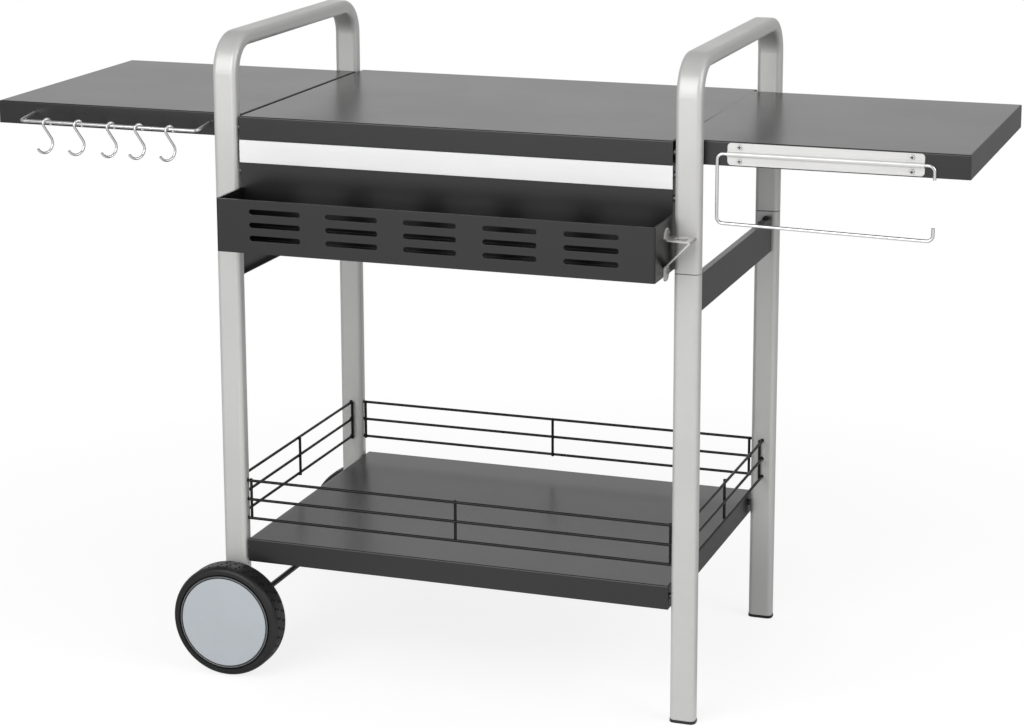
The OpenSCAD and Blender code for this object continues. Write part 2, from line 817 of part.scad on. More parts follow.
module side_table_left() {
    hole = hook_rod / 2 + 2 * bolt_play;
    color("#4a4b4d") placed() difference() {
        at_side(-1) side_table(left_inner_x);
        for (x = [hook_rail_start, hook_rail_start + hook_rail_length]) {
            translate([x, 0, table_height - hook_rail_drop])
                bar_y(side_edge_y - cut, side_edge_y + table_sheet + cut, hole);
        }
    }
}

// Places of the four screws of the roll holder's plate
module at_plate_screws() {
    for (x = [-1, 1], z = [-1, 1]) {
        translate([roll_x + x * roll_screw_spacing / 2, 0, roll_z + z * roll_screw_pitch / 2]) children();
    }
}

module side_table_right() {
    color("#4a4b4d") placed() difference() {
        side_table(right_inner_x);
        at_plate_screws()
            bar_y(side_edge_y - cut, side_edge_y + table_sheet + cut, screw_size / 2 + bolt_play);
    }
}

// Bolts from inside the side tables into the legs, and the washers in the gap
module side_table_bolts() {
    color("#9da0a3") at_legs()
        translate([0, -tube_depth / 2 - side_gap - table_sheet, table_bolt_z]) rotate([-90, 0, 0])
        bolt(bolt_reach);
}

module side_table_washers() {
    color("#9da0a3") at_legs() translate([0, 0, table_bolt_z]) difference() {
        bar_y(-tube_depth / 2 - side_gap, -tube_depth / 2, bolt_head / 2);
        bar_y(-tube_depth / 2 - side_gap - cut, -tube_depth / 2 + cut, bolt_size / 2 + bolt_play);
    }
}

// Bolts that link each side table to the centre table
module at_links(sides = [-1, 1]) {
    placed() for (side = sides, end = [-1, 1]) {
        at_side(side) translate([body_x, end * link_spacing / 2, table_bolt_z])
            rotate([0, 90, 0]) children();
    }
}

module link_bolts() {
    color("#9da0a3") at_links() translate([0, 0, -table_sheet])
        bolt(2 * table_sheet + left_seam + nut_height + bolt_size / 2);
}

module link_nuts() {
    color("#9da0a3") {
        at_links(sides = [-1]) translate([0, 0, left_seam + table_sheet])
            nut(nut_flats, nut_height, bolt_size / 2 + bolt_play);
        at_links(sides = [1]) translate([0, 0, right_seam + table_sheet])
            nut(nut_flats, nut_height, bolt_size / 2 + bolt_play);
    }
}

module link_spacers() {
    color("#9da0a3") at_links(sides = [-1]) difference() {
        cylinder(h = left_seam, d = bolt_head);
        translate([0, 0, -cut]) cylinder(h = left_seam + 2 * cut, r = bolt_size / 2 + bolt_play);
    }
}

// Places of the bolts that hold the centre table, the shelf and the panel: each is
// on a leg's inner face, with the sheet that it holds below it
module at_frame_bolts() {
    placed() for (side = [-1, 1]) {
        at_side(side) {
            for (end = [-1, 1], z = [table_bolt_z, shelf_bolt_z]) {
                translate([body_x, end * leg_y, z]) rotate([0, 90, 0]) children();
            }
            for (z = panel_bolt_zs) {
                translate([body_x, panel_bolt_y, z]) rotate([0, 90, 0]) children();
            }
        }
    }
}

module frame_bolts() {
    color("#b4b6b8") at_frame_bolts() translate([0, 0, -table_sheet]) {
        bolt(table_sheet + body_gap + bolt_reach);
    }
}

module frame_spacers() {
    color("#b4b6b8") at_frame_bolts() difference() {
        cylinder(h = body_gap, d = bolt_head);
        translate([0, 0, -cut]) cylinder(h = body_gap + 2 * cut, r = bolt_size / 2 + bolt_play);
    }
}

// Panel under the table edge: face, end flanges on the legs and an upper flange
module front_panel() {
    top = edge_z - panel_top_gap;
    height = top - basket_base;
    color("#2b2c2e") placed() difference() {
        union() {
            translate([-body_x, panel_y, basket_base]) cube([2 * body_x, panel_sheet, height]);
            translate([-body_x, panel_y, top - panel_sheet])
                cube([2 * body_x, panel_top_flange, panel_sheet]);
            for (side = [-1, 1]) {
                at_side(side) translate([body_x - table_sheet, panel_y, basket_base])
                    cube([table_sheet, panel_flange, height]);
            }
        }
        for (side = [-1, 1], z = panel_bolt_zs) {
            at_side(side) translate([0, panel_bolt_y, z])
                bar_x(body_x - table_sheet - cut, body_x + cut, bolt_size / 2 + bolt_play);
        }
        for (share = basket_screw_place_shares) {
            translate([share * body_x, 0, basket_base + basket_screw_rise])
                bar_y(panel_y - cut, panel_y + panel_sheet + cut, screw_size / 2 + bolt_play);
        }
    }
}

// Bright strip with both long edges turned back to the panel
module trim_strip() {
    top = edge_z - strip_gap;
    color("#e6e6e6") placed() translate([0, panel_y, top]) rotate([90, 0, 90])
        linear_extrude(2 * body_x, center = true) difference() {
            translate([-strip_depth, -strip_height]) square([strip_depth, strip_height]);
            translate([-strip_depth + strip_sheet, -strip_height + strip_sheet])
                square([strip_depth, strip_height - 2 * strip_sheet]);
        }
}

// Outline of the basket seen from above, its wall moved inwards by an inset
module basket_outline(inset) {
    radius = max(basket_corner - inset, basket_corner / 4);
    width = 2 * (body_x - inset);
    depth = basket_depth - inset;
    translate([-width / 2, -depth + radius]) square([width, depth - radius]);
    translate([-width / 2 + radius, -depth]) square([width - 2 * radius, depth]);
    for (x = [-1, 1]) {
        translate([x * (width / 2 - radius), -depth + radius]) circle(radius);
    }
}

// Groups of round-ended slots in the basket's front
module basket_slots() {
    half = (slot_length - slot_height) / 2;
    for (g = [0 : slot_groups - 1], row = [0 : slot_rows - 1]) {
        x = (g - (slot_groups - 1) / 2) * slot_group_pitch;
        translate([x, 0, basket_top - slot_drop - row * slot_pitch]) {
            for (end = [-1, 1]) {
                translate([end * half, 0, 0])
                    bar_y(basket_front - cut, basket_front + basket_sheet + cut, slot_height / 2);
            }
            translate([-half, basket_front - cut, -slot_height / 2])
                cube([2 * half, basket_sheet + 2 * cut, slot_height]);
        }
    }
}

module basket() {
    color("#3a3b3d") placed() difference() {
        union() {
            translate([0, panel_y, basket_base]) {
                linear_extrude(basket_sheet) basket_outline(0);
                linear_extrude(basket_height) difference() {
                    basket_outline(0);
                    translate([0, cut]) basket_outline(basket_sheet);
                    translate([0, 2 * cut]) basket_outline(basket_sheet);
                }
                translate([0, 0, basket_height - hem_height]) linear_extrude(hem_height) difference() {
                    basket_outline(0);
                    basket_outline(hem_thickness);
                }
                translate([-body_x, -basket_sheet, 0]) cube([2 * body_x, basket_sheet, basket_lip]);
            }
        }
        basket_slots();
        for (share = basket_screw_place_shares) {
            translate([share * body_x, 0, basket_base + basket_screw_rise])
                bar_y(panel_y - basket_sheet - cut, panel_y + cut, screw_size / 2 + bolt_play);
        }
        for (z = opener_screw_zs) {
            translate([0, panel_y - opener_place, z])
                bar_x(body_x - basket_sheet - cut, body_x + cut, screw_size / 2 + bolt_play);
        }
    }
}

module basket_screws() {
    color("#26282a") placed() for (share = basket_screw_place_shares) {
        translate([share * body_x, panel_y - basket_sheet, basket_base + basket_screw_rise])
            rotate([-90, 0, 0]) small_screw();
    }
}

// Bottle opener: tabs on the basket's end, a plate with a hole and a brace
opener_top = basket_top - hem_height - opener_drop;
opener_base = opener_top - opener_height;
opener_screw_zs = [opener_top - screw_head, opener_base + opener_foot - screw_head];
opener_nose = [opener_reach, opener_top - opener_tab - opener_fall];
opener_bends = [[0, opener_top], [0, opener_top - opener_tab], opener_nose,
    [0, opener_base + opener_foot], [0, opener_base]];

// Bent strip through a list of points in the XZ plane, each the middle of the sheet
module strip_path(points, thickness) {
    for (i = [0 : len(points) - 2]) {
        run = points[i + 1] - points[i];
        translate(points[i]) rotate(atan2(run[1], run[0])) translate([0, -thickness / 2])
            square([norm(run), thickness]);
    }
    for (i = [1 : len(points) - 2]) {
        translate(points[i]) circle(thickness / 2);
    }
}

module bottle_opener() {
    middle = (opener_top + opener_base) / 2;
    fall_angle = atan2(opener_fall, opener_reach);
    hole_x = opener_reach * opener_hole_share;
    color("#b9babb") placed() translate([body_x + opener_sheet / 2, panel_y - opener_place, 0])
        difference() {
            intersection() {
                rotate([90, 0, 0]) linear_extrude(opener_width, center = true)
                    strip_path(opener_bends, opener_sheet);
                union() {
                    translate([-cut, 0, middle]) rotate([90, 0, 90])
                        linear_extrude(opener_sheet + 2 * cut)
                        round_rect(opener_width, opener_height, opener_width / 2 - opener_sheet / 4);
                    translate([opener_sheet / 2, -opener_width / 2, opener_base])
                        cube([opener_reach + opener_sheet, opener_width, opener_height]);
                }
            }
            translate([hole_x, 0, opener_top - opener_tab]) rotate([0, fall_angle, 0])
                linear_extrude(opener_fall + 2 * opener_sheet, center = true)
                polygon([[-opener_hole_length / 2, -opener_hole_width / 4],
                    [-opener_hole_length / 4, -opener_hole_width / 2],
                    [opener_hole_length / 4, -opener_hole_width / 2],
                    [opener_hole_length / 2, -opener_hole_width / 4],
                    [opener_hole_length / 2, opener_hole_width / 4],
                    [opener_hole_length / 4, opener_hole_width / 2],
                    [-opener_hole_length / 4, opener_hole_width / 2],
                    [-opener_hole_length / 2, opener_hole_width / 4]]);
            for (z = opener_screw_zs) {
                translate([0, 0, z]) bar_x(-opener_sheet, opener_sheet, screw_size / 2 + bolt_play);
            }
        }
}

module opener_screws() {
    color("#a9abad") placed() for (z = opener_screw_zs) {
        translate([body_x + opener_sheet, panel_y - opener_place, z]) rotate([0, -90, 0])
            small_screw();
    }
}

module lower_shelf() {
    color("#4a4b4d") placed() difference() {
        translate([0, 0, shelf_height]) tray(2 * body_x, shelf_depth, shelf_edge);
        end_holes(shelf_bolt_z);
    }
}

// Wire guard along X, from leg to leg, with its uprights on the inner side
module guard(run) {
    radius = guard_wire / 2;
    low = guard_zs[0] - radius;
    high = guard_zs[guard_rows - 1] + radius;
    for (z = guard_zs) {
        translate([0, 0, z]) bar_x(-run / 2 - guard_plug, run / 2 + guard_plug, radius);
    }
    for (x = [-run / 2 + guard_end, 0, run / 2 - guard_end]) {
        translate([x, guard_wire * upright_share, low]) cylinder(h = high - low, r = radius);
    }
}

module guard_front() {
    color("#1f2022") placed() translate([0, -leg_y, 0]) guard(frame_gap);
}

module guard_rear() {
    color("#1f2022") placed() translate([0, leg_y, 0]) rotate([0, 0, 180]) guard(frame_gap);
}

module guard_left() {
    color("#1f2022") placed() translate([-leg_x, 0, 0]) rotate([0, 0, -90]) guard(2 * inner_y);
}

module guard_right() {
    color("#1f2022") placed() translate([leg_x, 0, 0]) rotate([0, 0, 90]) guard(2 * inner_y);
}

// Puts a piece on the axle outside a left leg, with the axle pointing along Z
module at_wheel(end) {
    placed() at_end(end) translate([-leg_x, frame_depth / 2, wheel_radius]) rotate([-90, 0, 0])
        children();
}

module axle() {
    reach = frame_depth / 2 + nut_start + axle_nut_height + axle_tail;
    color("#2a2b2d") placed() translate([-leg_x, 0, wheel_radius])
        bar_y(-reach, reach, axle_diameter / 2);
}

module axle_spacers() {
    color("#2a2b2d") for (end = [-1, 1]) {
        at_wheel(end) difference() {
            cylinder(h = axle_spacer, r = axle_diameter / 2 + rim_wall);
            translate([0, 0, -cut]) cylinder(h = axle_spacer + 2 * cut, r = axle_diameter / 2 + axle_play);
        }
    }
}

module axle_nuts() {
    color("#9da0a3") for (end = [-1, 1]) {
        at_wheel(end) translate([0, 0, nut_start])
            nut(axle_nut_flats, axle_nut_height, axle_diameter / 2 + axle_play);
    }
}

// Half section of a ring between two radii and two places along the axle
module ring(inner, outer, from, to) {
    translate([inner, from]) square([outer - inner, to - from]);
}

// Rim with hub, web, ribs, tyre seat and the lip round the hubcap
module rim() {
    web = hub_start + web_place_share * tyre_width;
    rotate_extrude() {
        ring(axle_diameter / 2 + axle_play, hub_diameter / 2, hub_start, hub_start + hub_length);
        ring(hub_diameter / 2 - hub_lap, barrel_radius, web, web + rim_wall);
        ring(barrel_radius - rim_wall, barrel_radius, hub_start, flange_start);
        ring(barrel_radius - rim_wall, lip_radius, flange_start, seat_start);
        ring(seat_radius + bolt_play, lip_radius, flange_start, tyre_end);
        ring(barrel_radius - rim_wall, barrel_radius + rim_flange_rise, hub_start, hub_start + rim_flange);
    }
    for (i = [0 : rim_ribs - 1]) {
        rotate([0, 0, i * 360 / rim_ribs])
            translate([hub_diameter / 2 - hub_lap, -rim_wall / 2, hub_start + rim_flange])
            cube([barrel_radius - hub_diameter / 2 - rim_wall / 2, rim_wall, web - hub_start]);
    }
}

// Points of a tyre's round shoulder, from its side to its tread
function shoulder(side, sense) = [for (i = [0 : shoulder_steps]) let (a = i * 90 / shoulder_steps)
    [wheel_radius - shoulder_drop * (1 - sin(a)), side - sense * shoulder_width * (1 - cos(a))]];

// Outline of a zigzag cut with three strokes, across one half of the tread along Y
function zigzag(run) = let (middles = [[0, -run / 2], [tread_swing, -run / 6], [-tread_swing, run / 6],
    [0, run / 2]]) concat([for (place = middles) place + [tread_width / 2, 0]],
    [for (i = [len(middles) - 1 : -1 : 0]) middles[i] - [tread_width / 2, 0]]);

// Tyre with round shoulders and two rows of zigzag cuts
module tyre() {
    inner_side = shoulder(hub_start, -1);
    outer_side = shoulder(tyre_end, 1);
    row = (tyre_width - tread_band) / 2 - tread_inset;
    difference() {
        rotate_extrude() {
            ring(barrel_radius, bead_radius_out + cut, hub_start + rim_flange, flange_start);
            polygon(concat([[bead_radius_out, hub_start]], inner_side,
                [for (i = [shoulder_steps : -1 : 0]) outer_side[i]], [[bead_radius_out, tyre_end]]));
        }
        for (i = [0 : tread_cuts - 1], half = [-1, 1]) {
            middle = hub_start + tyre_width / 2 + half * (tread_band + row) / 2;
            rotate([0, 0, (i + half / 4) * 360 / tread_cuts])
                translate([wheel_radius - tread_depth, 0, middle]) rotate([90, 0, 90])
                linear_extrude(tread_depth + cut) polygon(zigzag(row));
        }
    }
}

// Flat disc in the rim's lip with a snap skirt behind
module hubcap() {
    face = tyre_end + hubcap_stand;
    skirt = seat_radius - hubcap_skirt_inset - rim_wall;
    rotate_extrude() {
        polygon([[0, seat_start], [seat_radius, seat_start], [seat_radius, face - hubcap_chamfer],
            [seat_radius - hubcap_chamfer, face], [0, face]]);
        ring(skirt - hubcap_skirt_wall, skirt, seat_start - hubcap_skirt, seat_start);
    }
}

module tyre_front() {
    color("#2c2d2f") at_wheel(-1) tyre();
}

module rim_front() {
    color("#18191a") at_wheel(-1) rim();
}

module hubcap_front() {
    color("#b3b9bf") at_wheel(-1) hubcap();
}

module tyre_rear() {
    color("#2c2d2f") at_wheel(1) tyre();
}

module rim_rear() {
    color("#18191a") at_wheel(1) rim();
}

module hubcap_rear() {
    color("#b3b9bf") at_wheel(1) hubcap();
}

// Puts a piece at the hook rail's left fixing, with Z along the rail's leg outwards
module at_hook_rail() {
    placed() translate([hook_rail_start, side_edge_y, table_height - hook_rail_drop])
        rotate([90 + hook_tilt, 0, 0]) children();
}

hook_rail_tail = table_sheet + rail_nut_height + hook_rod / 2;

module hook_rail() {
    leg_run = hook_rail_reach - hook_rail_bend + hook_rail_tail;
    color("#d8dadc") at_hook_rail() translate([0, 0, -hook_rail_tail])
        wire_runs([[leg_run, 90, hook_rail_bend],
            [hook_rail_length - 2 * hook_rail_bend, 90, hook_rail_bend], [leg_run, 0, 0]], hook_rod / 2);
}

module hook_rail_nuts() {
    seat = table_sheet / cos(hook_tilt) + rail_nut_flats * tan(hook_tilt);
    color("#9da0a3") for (x = [0, hook_rail_length]) {
        at_hook_rail() translate([x, 0, -seat - rail_nut_height])
            nut(rail_nut_flats, rail_nut_height, hook_rod / 2 + spigot_play);
    }
}

// Hanging hook, with the rod's middle at the origin and its open side forward
module s_hook(i) {
    color("#d8dadc") placed()
        translate([hook_rail_start + hook_place_shares[i] * hook_rail_length, hook_rod_y, hook_rod_z])
        rotate([0, 0, hook_turns[i]]) translate([0, 0, -hook_rise])
        rotate([0, hook_tip_angle, 0]) translate([hook_top_radius, 0, 0]) mirror([1, 0, 0])
        wire_runs([[0, hook_tip_angle + 180 + hook_lean, hook_top_radius],
            [hook_run, -hook_lean - 90 - hook_lower_angle, hook_bottom_radius]], hook_wire / 2);
}

module s_hook_1() {
    s_hook(0);
}

module s_hook_2() {
    s_hook(1);
}

module s_hook_3() {
    s_hook(2);
}

module s_hook_4() {
    s_hook(3);
}

module s_hook_5() {
    s_hook(4);
}

// Plate of the roll holder, with the half round bead that holds the wire
module roll_plate() {
    outer = bead_radius + roll_plate_sheet;
    middle = wire_gap + wire_radius;
    color("#c9cacb") placed() translate([roll_x, side_edge_y, roll_z]) difference() {
        union() {
            rotate([90, 0, 0]) linear_extrude(roll_plate_sheet)
                round_rect(roll_plate_length, roll_plate_height, roll_plate_corner);
            translate([0, -middle, 0])
                bar_x(-roll_plate_length / 2, roll_plate_length / 2, outer);
            translate([-roll_plate_length / 2, -middle, -outer])
                cube([roll_plate_length, middle, 2 * outer]);
        }
        translate([0, -middle, 0])
            bar_x(-roll_plate_length / 2 - cut, roll_plate_length / 2 + cut, bead_radius);
        translate([-roll_plate_length / 2 - cut, -middle, -bead_radius])
            cube([roll_plate_length + 2 * cut, middle + cut, 2 * bead_radius]);
        translate([-roll_plate_length / 2 - cut, 0, -roll_plate_height])
            cube([roll_plate_length + 2 * cut, outer + middle, 2 * roll_plate_height]);
        for (x = [-1, 1], z = [-1, 1]) {
            translate([x * roll_screw_spacing / 2, 0, z * roll_screw_pitch / 2])
                bar_y(-roll_plate_sheet - cut, cut, screw_size / 2 + bolt_play);
        }
    }
}

// Bent wire: pivot bar in the bead, drop on the left and the roll bar below
module roll_wire() {
    pivot_run = roll_span - 2 * wire_bend;
    drop_run = roll_drop - wire_bend * (2 - sin(roll_tilt));
    bar_run = pivot_run / cos(roll_tilt);
    color("#cfd0d2") placed() translate([roll_x + roll_span / 2, wire_y, roll_z - pivot_end])
        mirror([1, 0, 0])
        wire_runs([[pivot_end - wire_bend, 90, wire_bend], [pivot_run, 90, wire_bend],
            [drop_run, 90 - roll_tilt, wire_bend], [bar_run, 90 + roll_tilt, wire_bend],
            [roll_bar_end - wire_bend, 0, 0]], wire_radius);
}

module roll_plate_screws() {
    color("#a9abad") placed() at_plate_screws()
        translate([0, side_edge_y - roll_plate_sheet, 0]) rotate([-90, 0, 0]) small_screw();
}

upper_frame_left();
upper_frame_right();
leg_front_left();
leg_rear_left();
leg_front_right();
leg_rear_right();
joint_spigots();
wing_screws();
wing_nuts();
foot_caps();
leg_plugs();
side_rail_left();
side_rail_right();
rail_screws();
centre_table();
side_table_left();
side_table_right();
side_table_bolts();
side_table_washers();
link_bolts();
link_nuts();
link_spacers();
frame_bolts();
frame_spacers();
front_panel();
trim_strip();
basket();
basket_screws();
bottle_opener();
opener_screws();
lower_shelf();
guard_front();
guard_rear();
guard_left();
guard_right();
axle();
axle_spacers();
axle_nuts();
tyre_front();
rim_front();
hubcap_front();
tyre_rear();
rim_rear();
hubcap_rear();
hook_rail();
hook_rail_nuts();
s_hook_1();
s_hook_2();
s_hook_3();
s_hook_4();
s_hook_5();
roll_plate();
roll_wire();
roll_plate_screws();
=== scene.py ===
"""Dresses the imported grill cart: coats, metals and plastics, fine details, stage and camera.

The file is laid out as an add-on and is run as a script. Lengths are in metres, in the
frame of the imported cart: X along the cart, minus Y its front, Z up, the floor at Z zero.
"""

import math

import bmesh
import bpy
from mathutils import Matrix, Vector


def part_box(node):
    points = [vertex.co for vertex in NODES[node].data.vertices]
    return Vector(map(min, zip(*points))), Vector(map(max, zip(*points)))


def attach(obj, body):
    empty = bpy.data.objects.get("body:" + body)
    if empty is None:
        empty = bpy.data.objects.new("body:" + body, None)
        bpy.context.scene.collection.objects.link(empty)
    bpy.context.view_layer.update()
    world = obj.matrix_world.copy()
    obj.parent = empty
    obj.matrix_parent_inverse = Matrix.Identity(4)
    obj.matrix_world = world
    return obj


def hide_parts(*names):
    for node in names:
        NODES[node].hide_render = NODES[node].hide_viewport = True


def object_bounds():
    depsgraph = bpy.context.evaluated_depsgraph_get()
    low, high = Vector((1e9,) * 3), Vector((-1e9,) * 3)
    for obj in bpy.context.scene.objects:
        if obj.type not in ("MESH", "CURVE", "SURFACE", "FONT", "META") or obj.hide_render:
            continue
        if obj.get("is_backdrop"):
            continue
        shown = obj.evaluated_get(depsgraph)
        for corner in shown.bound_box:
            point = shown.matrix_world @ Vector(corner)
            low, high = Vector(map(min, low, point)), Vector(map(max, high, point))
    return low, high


bl_info = {
    "name": "Grill Cart Dressing",
    "version": (1, 0, 0),
    "blender": (4, 5, 0),
    "location": "3D View > Sidebar > Grill Cart",
    "description": "Finishes, fine details, stage and camera of a grill cart with storage",
    "category": "Object",
}

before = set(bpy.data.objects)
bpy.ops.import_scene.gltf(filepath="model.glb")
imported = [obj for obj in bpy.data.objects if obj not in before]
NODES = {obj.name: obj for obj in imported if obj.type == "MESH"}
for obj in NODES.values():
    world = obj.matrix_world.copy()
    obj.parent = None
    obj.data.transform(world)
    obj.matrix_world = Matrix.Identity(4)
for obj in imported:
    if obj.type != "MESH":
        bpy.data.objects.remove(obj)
GUARDS = ("guard_front", "guard_rear", "guard_left", "guard_right")

# Level direction from the camera to the cart
CART_REAR = (-0.34, 0.94, 0.0)
# Cosines, from straight behind the cart, at which the white there starts and is full, and
# the same for the white of the floor in front
REAR_START, REAR_FULL = 0.8, 1.0
FRONT_START, FRONT_FULL = -0.3, -0.8
# Height on a unit sphere at which the light from around starts to fall off
CEILING_START = 0.2
# Range in which most values of a noise lie
NOISE_LOW, NOISE_HIGH = 0.3, 0.7
# Cosines of a softened edge's turn at which none of its painted highlight shows, and all of it
EDGE_NONE, EDGE_ALL = 0.995, 0.9
# Number of metal flakes along one bump of the orange peel
FLAKES_PER_BUMP = 2.5
# Scales of the large patches in brushed and in plated metal
BRUSHED_PATCHES, PLATED_PATCHES = 14.0, 60.0
# Noise at which the bloom on plastic starts and is full
BLOOM_START, BLOOM_FULL = 0.35, 0.75
# Openness at which a recess is fully darkened by the painted shade, and at which it has none
SHADE_FULL, SHADE_NONE = 0.55, 0.92
# Turn of a cylinder or a ring whose axis is to lie along Y
ALONG_Y = (math.pi / 2, 0.0, 0.0)
# Past this share of a bar's or a strip's reach lies only its end
END = 0.99
# Width of the seam strip's lower edge
WEDGE_FOOT = 0.08
# Width of the rounded ends of bosses and screw heads, and of the stems' tips
CROWN, TIP = 0.86, 0.7
# Width of the rim and depth of the boss's hollow end, as shares of the boss's radius
HOLLOW_RIM, HOLLOW_DEPTH = 0.25, 0.1
# Cuts in the wings, as a share of half their span and of their reach, and their inner end as
# a share of the boss's reach
WING_CUT, WING_ROOT = 0.55, 0.2
# Width and thickness of the wings at that end, and their thickness between the ears
ROOT_WIDTH, ROOT_THICKNESS, WAIST = 0.5, 0.8, 0.75
# Share of a weld's radius inside which its crown lies, and how much flatter that is
WELD_CROWN, CROWN_FLAT = 0.75, 0.85
# Distance within which a point or a face counts as lying at a place
NEAR = 0.001
# Share of the fall of the opener's plate that lies in its root
ROOT_FALL = 0.1
# Depth of the half of a bead that is sunk in the rim, as a share of its radius
BEAD_SINK = 0.4
# Distance from a bead's middle plane within which its points stay
BEAD_EDGE = 0.00001


def length(name, value, note):
    """A property for a length in metres."""
    return bpy.props.FloatProperty(
        name=name, description=note, default=value, min=0.0, precision=5,
        unit="LENGTH", subtype="DISTANCE")


def share(name, value, note):
    """A property for a share between nothing and all."""
    return bpy.props.FloatProperty(
        name=name, description=note, default=value, min=0.0, max=1.0, subtype="FACTOR")


def angle(name, degrees, note):
    """A property for an angle, given here in degrees."""
    return bpy.props.FloatProperty(
        name=name, description=note, default=math.radians(degrees),
        unit="ROTATION", subtype="ANGLE")


def colour(name, value, note):
    """A property for a linear colour."""
    return bpy.props.FloatVectorProperty(
        name=name, description=note, default=value, size=3, min=0.0, max=1.0,
        subtype="COLOR")


def amount(name, value, note):
    """A property for a plain number."""
    return bpy.props.FloatProperty(name=name, description=note, default=value, min=0.0)


def position(name, value, note):
    """A property for a point in the cart's frame."""
    return bpy.props.FloatVectorProperty(
        name=name, description=note, default=value, size=3, subtype="TRANSLATION")


def millimetres(name, value, note):
    """A property for a size of the camera."""
    return bpy.props.FloatProperty(
        name=name, description=note, default=value, min=1.0, unit="CAMERA")


# For each material: the pieces that have it, its colour and roughness, its shader group, what
# else that is given, and what is set on the shader
FINISHES = {
    "Silver Paint": ("frames and legs", (0.6, 0.598, 0.59), 0.38, "Coat Grain", {
        "Shade Spread": 0.02, "Flake Spread": 0.06, "Peel Scale": 850.0, "Peel Depth": 0.000012,
        "Gloss Spread": 0.04, "Edge Light": 0.03}, {"Metallic": 0.3}),
    "Anthracite Coat": ("folded sheets", (0.0052, 0.0052, 0.0055), 0.292, "Coat Grain", {
        "Shade Spread": 0.03, "Peel Scale": 480.0, "Peel Depth": 0.0000022, "Patch Scale": 6.0,
        "Gloss Spread": 0.008, "Edge Radius": 0.0007, "Edge Light": 0.35}, {"IOR": 1.64}),
    "Black Wire Coat": ("guards and the axle", (0.004, 0.004, 0.0043), 0.36, "Coat Grain", {
        "Shade Spread": 0.08, "Peel Scale": 900.0, "Peel Depth": 0.00003, "Patch Scale": 30.0,
        "Gloss Spread": 0.06}, {"IOR": 1.4}),
    "Bright Trim": ("bright strip", (0.87, 0.87, 0.875), 0.34, "Brushed Grain", {
        "Streak Scale": (5.0, 1800.0, 1800.0), "Shade Spread": 0.015, "Gloss Spread": 0.03,
        "Streak Depth": 0.000002}, {"Metallic": 0.3}),
    "Brushed Steel": ("roll holder's plate", (0.73, 0.726, 0.718), 0.34, "Brushed Grain", {
        "Streak Scale": (12.0, 1300.0, 1300.0), "Shade Spread": 0.035, "Gloss Spread": 0.05,
        "Streak Depth": 0.000003}, {"Metallic": 0.4}),
    "Satin Steel": ("bottle opener", (0.62, 0.61, 0.59), 0.36, "Brushed Grain", {
        "Streak Scale": (1400.0, 60.0, 1400.0), "Shade Spread": 0.06, "Gloss Spread": 0.04,
        "Streak Depth": 0.000003}, {"Metallic": 0.85}),
    "Screw Steel": ("roll holder's screws", (0.66, 0.66, 0.655), 0.36, "Brushed Grain", {
        "Streak Scale": (300.0, 300.0, 300.0), "Shade Spread": 0.03, "Gloss Spread": 0.04,
        "Streak Depth": 0.000002}, {"Metallic": 0.6}),
    "Bright Wire": ("hooks and bent wires", (0.8, 0.8, 0.81), 0.21, "Brushed Grain", {
        "Streak Scale": (300.0, 300.0, 300.0), "Shade Spread": 0.03, "Gloss Spread": 0.03,
        "Streak Depth": 0.000003}, {"Metallic": 0.88}),
    "Zinc Plating": ("nuts outside", (0.34, 0.345, 0.352), 0.36, "Plated Spangle", {}, {
        "Metallic": 1.0}),
    "Dull Plating": ("bolts in the gaps", (0.16, 0.162, 0.166), 0.46, "Plated Spangle", {
        "Shade Spread": 0.25}, {"Metallic": 1.0}),
    "Black Plating": ("black screws", (0.013, 0.013, 0.0135), 0.34, "Plated Spangle", {
        "Shade Spread": 0.3}, {}),
    "Black Plastic": ("caps and wing screws", (0.013, 0.013, 0.0135), 0.48, "Moulded Grain", {},
                      {}),
    "Rim Plastic": ("rims", (0.012, 0.012, 0.013), 0.21, "Moulded Grain", {
        "Grain Depth": 0.000008, "Gloss Spread": 0.04, "Edge Radius": 0.0014}, {"IOR": 1.7}),
    # The light grey of the rim beads is a painted highlight
    "Rim Lip Painted Highlight": ("rim beads' painted highlight", (0.13, 0.134, 0.14), 0.35, "Moulded Grain", {
        "Grain Depth": 0.000008, "Gloss Spread": 0.02}, {}),
    "Tyre Rubber": ("tyres", (0.012, 0.0122, 0.0125), 0.44, "Moulded Grain", {
        "Bloom": 0.3, "Bloom Scale": 40.0, "Grain Scale": 1100.0, "Grain Depth": 0.00006}, {}),
    "Hubcap Plastic": ("hubcaps", (0.465, 0.5, 0.53), 0.42, "Moulded Grain", {
        "Bloom": 0.03, "Bloom Scale": 18.0, "Grain Depth": 0.00001, "Gloss Spread": 0.05}, {}),
}
# Materials that get painted shade in their recesses and where they meet other pieces
RECESS_SHADED_FINISHES = ("Screw Steel",)


def setting_names(finish):
    """The names of the settings with a finish's colour and its roughness."""
    name = finish.lower().replace(" ", "_")
    return name, name + "_roughness"


def finish_settings():
    """The properties that hold the colour and the roughness of each finish."""
    settings = {}
    for finish, (pieces, value, roughness, *_) in FINISHES.items():
        colour_name, roughness_name = setting_names(finish)
        settings[colour_name] = colour(finish, value, "Colour of the " + pieces)
        settings[roughness_name] = share(
            finish + " roughness", roughness, "Roughness of the " + pieces)
    return settings


class CartFinishes(bpy.types.PropertyGroup):
    """Colours and gloss of the paints, metals and plastics."""

    __annotations__ = finish_settings()


